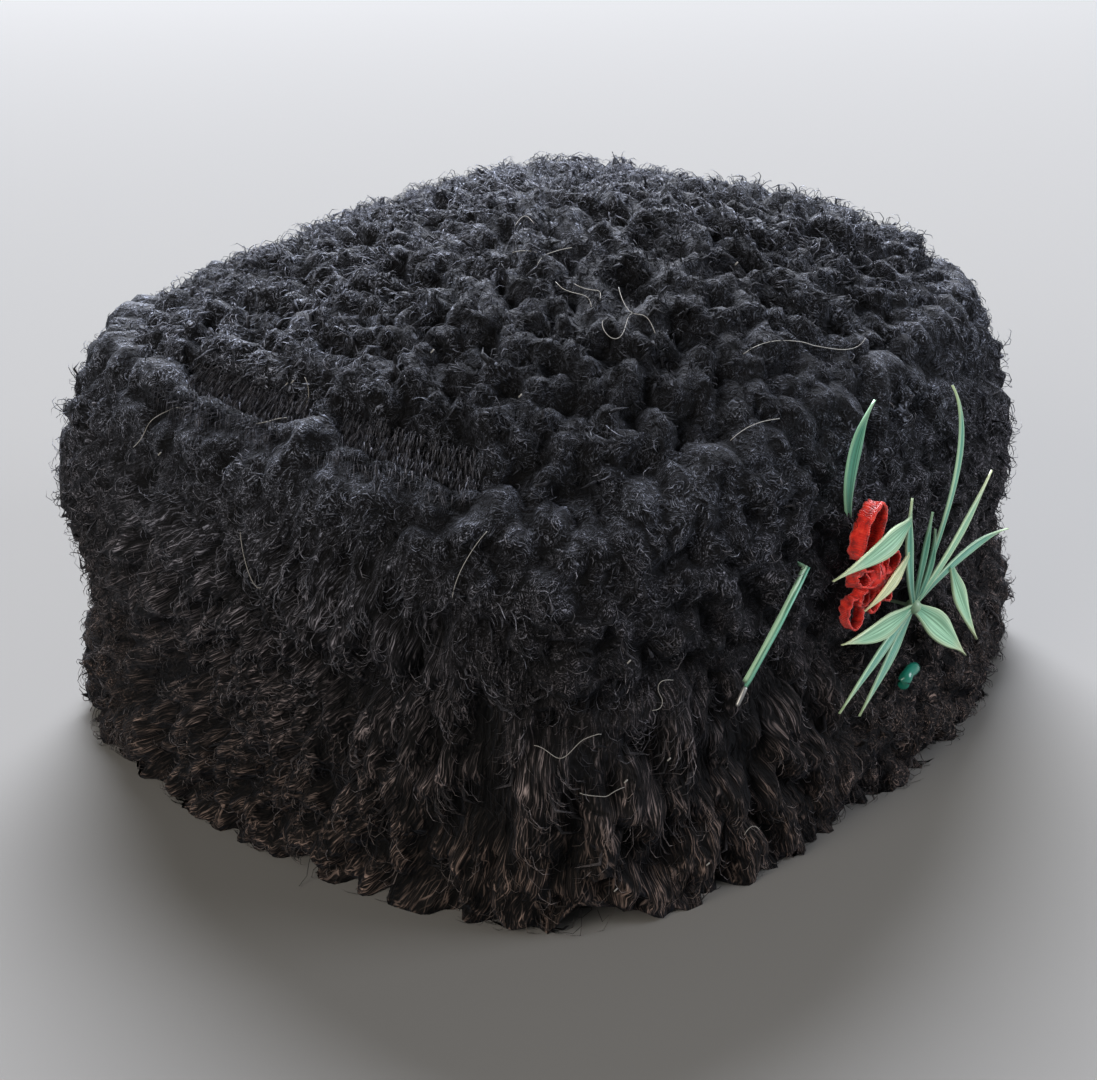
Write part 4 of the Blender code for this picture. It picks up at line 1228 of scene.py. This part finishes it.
def add_loop(bm, on_ribbon, loop):
    """Adds a loop of ribbon, crumpled; its map is in millimetres along and across the ribbon."""
    leaning = axes_at(loop.place) @ Matrix.Rotation(math.radians(loop.tilt), 4, "Y")
    leaning = leaning @ Matrix.Rotation(math.radians(loop.turn), 4, "Z")
    ring = bmesh.ops.create_circle(bm, segments=LOOP_STEPS, radius=1.0)["verts"]
    edges = list({edge for vert in ring for edge in vert.link_edges})
    rows = [ring]
    for _ in range(RIBBON_ROWS):
        ring, edges = draw_ring(bm, edges)
        rows.append(ring)
    seed = Vector((loop.tilt, loop.height, loop.shift)) * 0.37
    spots = {vert: (math.atan2(vert.co.y, vert.co.x), row / RIBBON_ROWS - 0.5)
             for row, verts in enumerate(rows) for vert in verts}
    girth = (loop.height + loop.width) * 1.6
    for vert, (turn, across) in spots.items():
        cockle = noise.noise(Vector((math.cos(turn) * 3, math.sin(turn) * 3, across * 2)) + seed) * 0.9
        fine = 0.10 * math.sin(turn * girth * 1.1 + 3 * across)
        swell = 1 + (cockle * 0.55 + fine) / loop.width
        x = math.cos(turn) * loop.width / 2 * swell
        z = math.sin(turn) * loop.height / 2 * swell + loop.shift
        y = across * loop.depth + cockle * 0.5
        vert.co = (leaning @ Vector((x, y, z))) * MM
    for face in {face for vert in spots for face in vert.link_faces}:
        face.smooth = True
        turns = [spots[corner.vert][0] for corner in face.loops]
        wraps = max(turns) - min(turns) > math.pi
        for corner in face.loops:
            turn, across = spots[corner.vert]
            turn += 2 * math.pi if wraps and turn < 0 else 0.0
            corner[on_ribbon].uv = (turn / (2 * math.pi) * girth, across * loop.depth)


# Polyester satin ribbon, dyed red: a soft shine, close ribs across it, darker in patches of painted shade
# that stand for its creases
ribbon = new_material("ribbon_red_satin", "#d8281c", 0.42, Specular_IOR_Level=0.5, Sheen_Weight=0.15)
spot = add_node(ribbon, "ShaderNodeUVMap", {"uv_map": "on_ribbon"}).outputs["UV"]
ribs = add_node(ribbon, "ShaderNodeTexWave", {"bands_direction": "X"},
                {"Vector": spot, "Scale": 1.0, "Distortion": 1.2, "Detail": 2.0})
# Painted shade in the creases: patches of noise darken the red
painted_crease_shade = add_node(ribbon, "ShaderNodeTexNoise", {"noise_dimensions": "2D"},
                   {"Vector": spot, "Scale": 0.8, "Detail": 3.0})
red = add_node(ribbon, "ShaderNodeValToRGB", inputs={"Fac": painted_crease_shade.outputs["Fac"]},
               stops=((0.30, "#8e120c"), (0.52, "#cf2417"), (0.8, "#e8402b"))).outputs["Color"]
dress(ribbon, red, ribs.outputs["Fac"], 0.18, 0.8)

bm, on_ribbon = mapped_bmesh("on_ribbon")
for loop in RIBBON_LOOPS:
    add_loop(bm, on_ribbon, loop)
flower = add_sheet("ribbon_loops", bm, RIBBON_THICKNESS, "ribbon", ribbon)
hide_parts("ribbon_flower")
bm, _ = mapped_bmesh("on_ribbon")
bmesh.ops.create_icosphere(bm, subdivisions=4, radius=1.0)
for vert in bm.verts:
    turn = math.atan2(vert.co.z, vert.co.x)
    pleat = 1 + 0.16 * math.sin(9 * turn) * (1 - abs(vert.co.y))
    vert.co = axes_at(HEART) @ (vert.co * Vector((pleat, 1.0, pleat)) * HEART_HALVES) * MM
for face in bm.faces:
    face.smooth = True
add_pin(bm, HEART)
add_piece("ribbon_knot", mesh_of("ribbon_knot", bm), "ribbon", ribbon)

# Threads and lint
# Loose ends of pale cotton thread and a few specks of lint, caught in the wool and lying on its
# curls. One black sewing thread hangs from the rim onto the floor.
THREAD_RADIUS = 0.075
THREAD_STEPS = 7
THREAD_ABOVE = 0.3
SPECK_LENGTH = 0.6
BAND_THREADS = (
    ((-137.0, 0.842), (-135.0, 0.858), (-133.0, 0.872)),
    ((-157.0, 0.733), (-155.5, 0.763), (-155.5, 0.789), (-154.0, 0.812), (-151.5, 0.805)),
    ((-132.0, 0.668), (-131.5, 0.649), (-130.0, 0.615), (-128.0, 0.604)),
    ((-94.0, 0.347), (-92.5, 0.332), (-91.5, 0.328), (-90.5, 0.351), (-89.5, 0.366)),
    ((-90.5, 0.271), (-89.5, 0.260), (-89.0, 0.264), (-88.0, 0.271)),
    ((-75.5, 0.116), (-74.5, 0.127), (-73.5, 0.116)),
    ((-101.5, 0.649), (-101.0, 0.687), (-100.0, 0.733), (-99.0, 0.771)),
    ((-85.0, 0.396), (-84.0, 0.426), (-84.5, 0.491), (-83.0, 0.498)),
    ((-72.0, 0.850), (-68.5, 0.854), (-65.0, 0.846)),
)
CROWN_THREADS = (
    ((-137.5, 0.955), (-134.5, 0.944), (-133.0, 0.92), (-134.0, 0.895)),
    ((-78.0, 0.589), (-78.5, 0.631), (-78.0, 0.672), (-76.5, 0.691), (-76.0, 0.748)),
    ((-78.0, 0.676), (-80.0, 0.699), (-82.0, 0.718), (-83.5, 0.687), (-82.5, 0.657)),
    ((-91.0, 0.498), (-87.5, 0.544), (-85.0, 0.570), (-84.5, 0.608)),
    ((-86.5, 0.521), (-83.5, 0.559), (-82.0, 0.574), (-82.5, 0.600)),
    ((-103.0, 0.400), (-99.5, 0.388), (-95.5, 0.392)),
    ((-95.5, 0.441), (-91.5, 0.392), (-84.0, 0.396)),
    ((-105.0, 0.282), (-101.5, 0.229), (-96.5, 0.264)),
    ((-65.0, 0.876), (-56.5, 0.892), (-49.5, 0.937), (-41.5, 0.948)),
)
BAND_SPECKS = ((-87.5, 0.566), (-88.0, 0.279), (-89.0, 0.078), (-84.0, 0.298), (-80.0, 0.082),
               (-151.0, 0.736))
CROWN_SPECKS = ((-97.5, 0.827), (-52.0, 0.680), (-112.5, 0.774), (-139.0, 0.91), (-137.5, 0.905))
HANGING_TURN = -124.0
HANGING_ROUTE = ((-1, 6), (0.6, 3.5), (1.5, 1.2), (4, 0.3))


def lying_curve(wall, places):
    """A smooth curve through places on the wool, a little above its curls, in millimetres."""
    numbers = np.arange(len(places))
    steps = np.linspace(0, numbers[-1], numbers[-1] * THREAD_STEPS + 1)
    degrees, share = (np.polyval(np.polyfit(numbers, column, numbers[-1]), steps)
                      for column in zip(*places))
    turn = np.radians(degrees)
    above = wall.pile(turn, share) * PILE + THREAD_ABOVE
    return [Vector(point) for point in wall.point(turn, share) + wall.normals(turn, share) * above[:, None]]


def add_threads(name, wall, threads, specks, slot):
    bm = bmesh.new()
    for places in threads:
        points = lying_curve(wall, places)
        add_rod(bm, points, [THREAD_RADIUS] * len(points), 4)
    for speck in specks:
        start = lying_curve(wall, (speck, speck))[0]
        end = start + Vector((SPECK_LENGTH, 0.0, SPECK_LENGTH))
        add_rod(bm, [start, start.lerp(end, 0.5), end], [THREAD_RADIUS * 2] * 3, 5)
    add_piece(name, mesh_of(name, bm), slot, thread_cotton)


# Undyed cotton, spun, matt
thread_cotton = new_material("thread_undyed_cotton", "#83817c", 0.9)
add_threads("threads_on_band", BAND, BAND_THREADS, BAND_SPECKS, "band_lambskin")
add_threads("threads_on_crown", CROWN, CROWN_THREADS, CROWN_SPECKS, "crown_lambskin")
# Black sewing cotton, matt
thread_black = new_material("thread_black_cotton", "#121213", 0.9)
turn = math.radians(HANGING_TURN)
rim = float(plan_radius(turn)) * BAND_SECTIONS[0, 1]
points = [Vector(hat_point(turn, rim + out, height)) for out, height in HANGING_ROUTE]
bm = bmesh.new()
add_rod(bm, points, [THREAD_RADIUS] * len(points), 4)
add_piece("thread_at_rim", mesh_of("thread_at_rim", bm), "band_lambskin", thread_black)
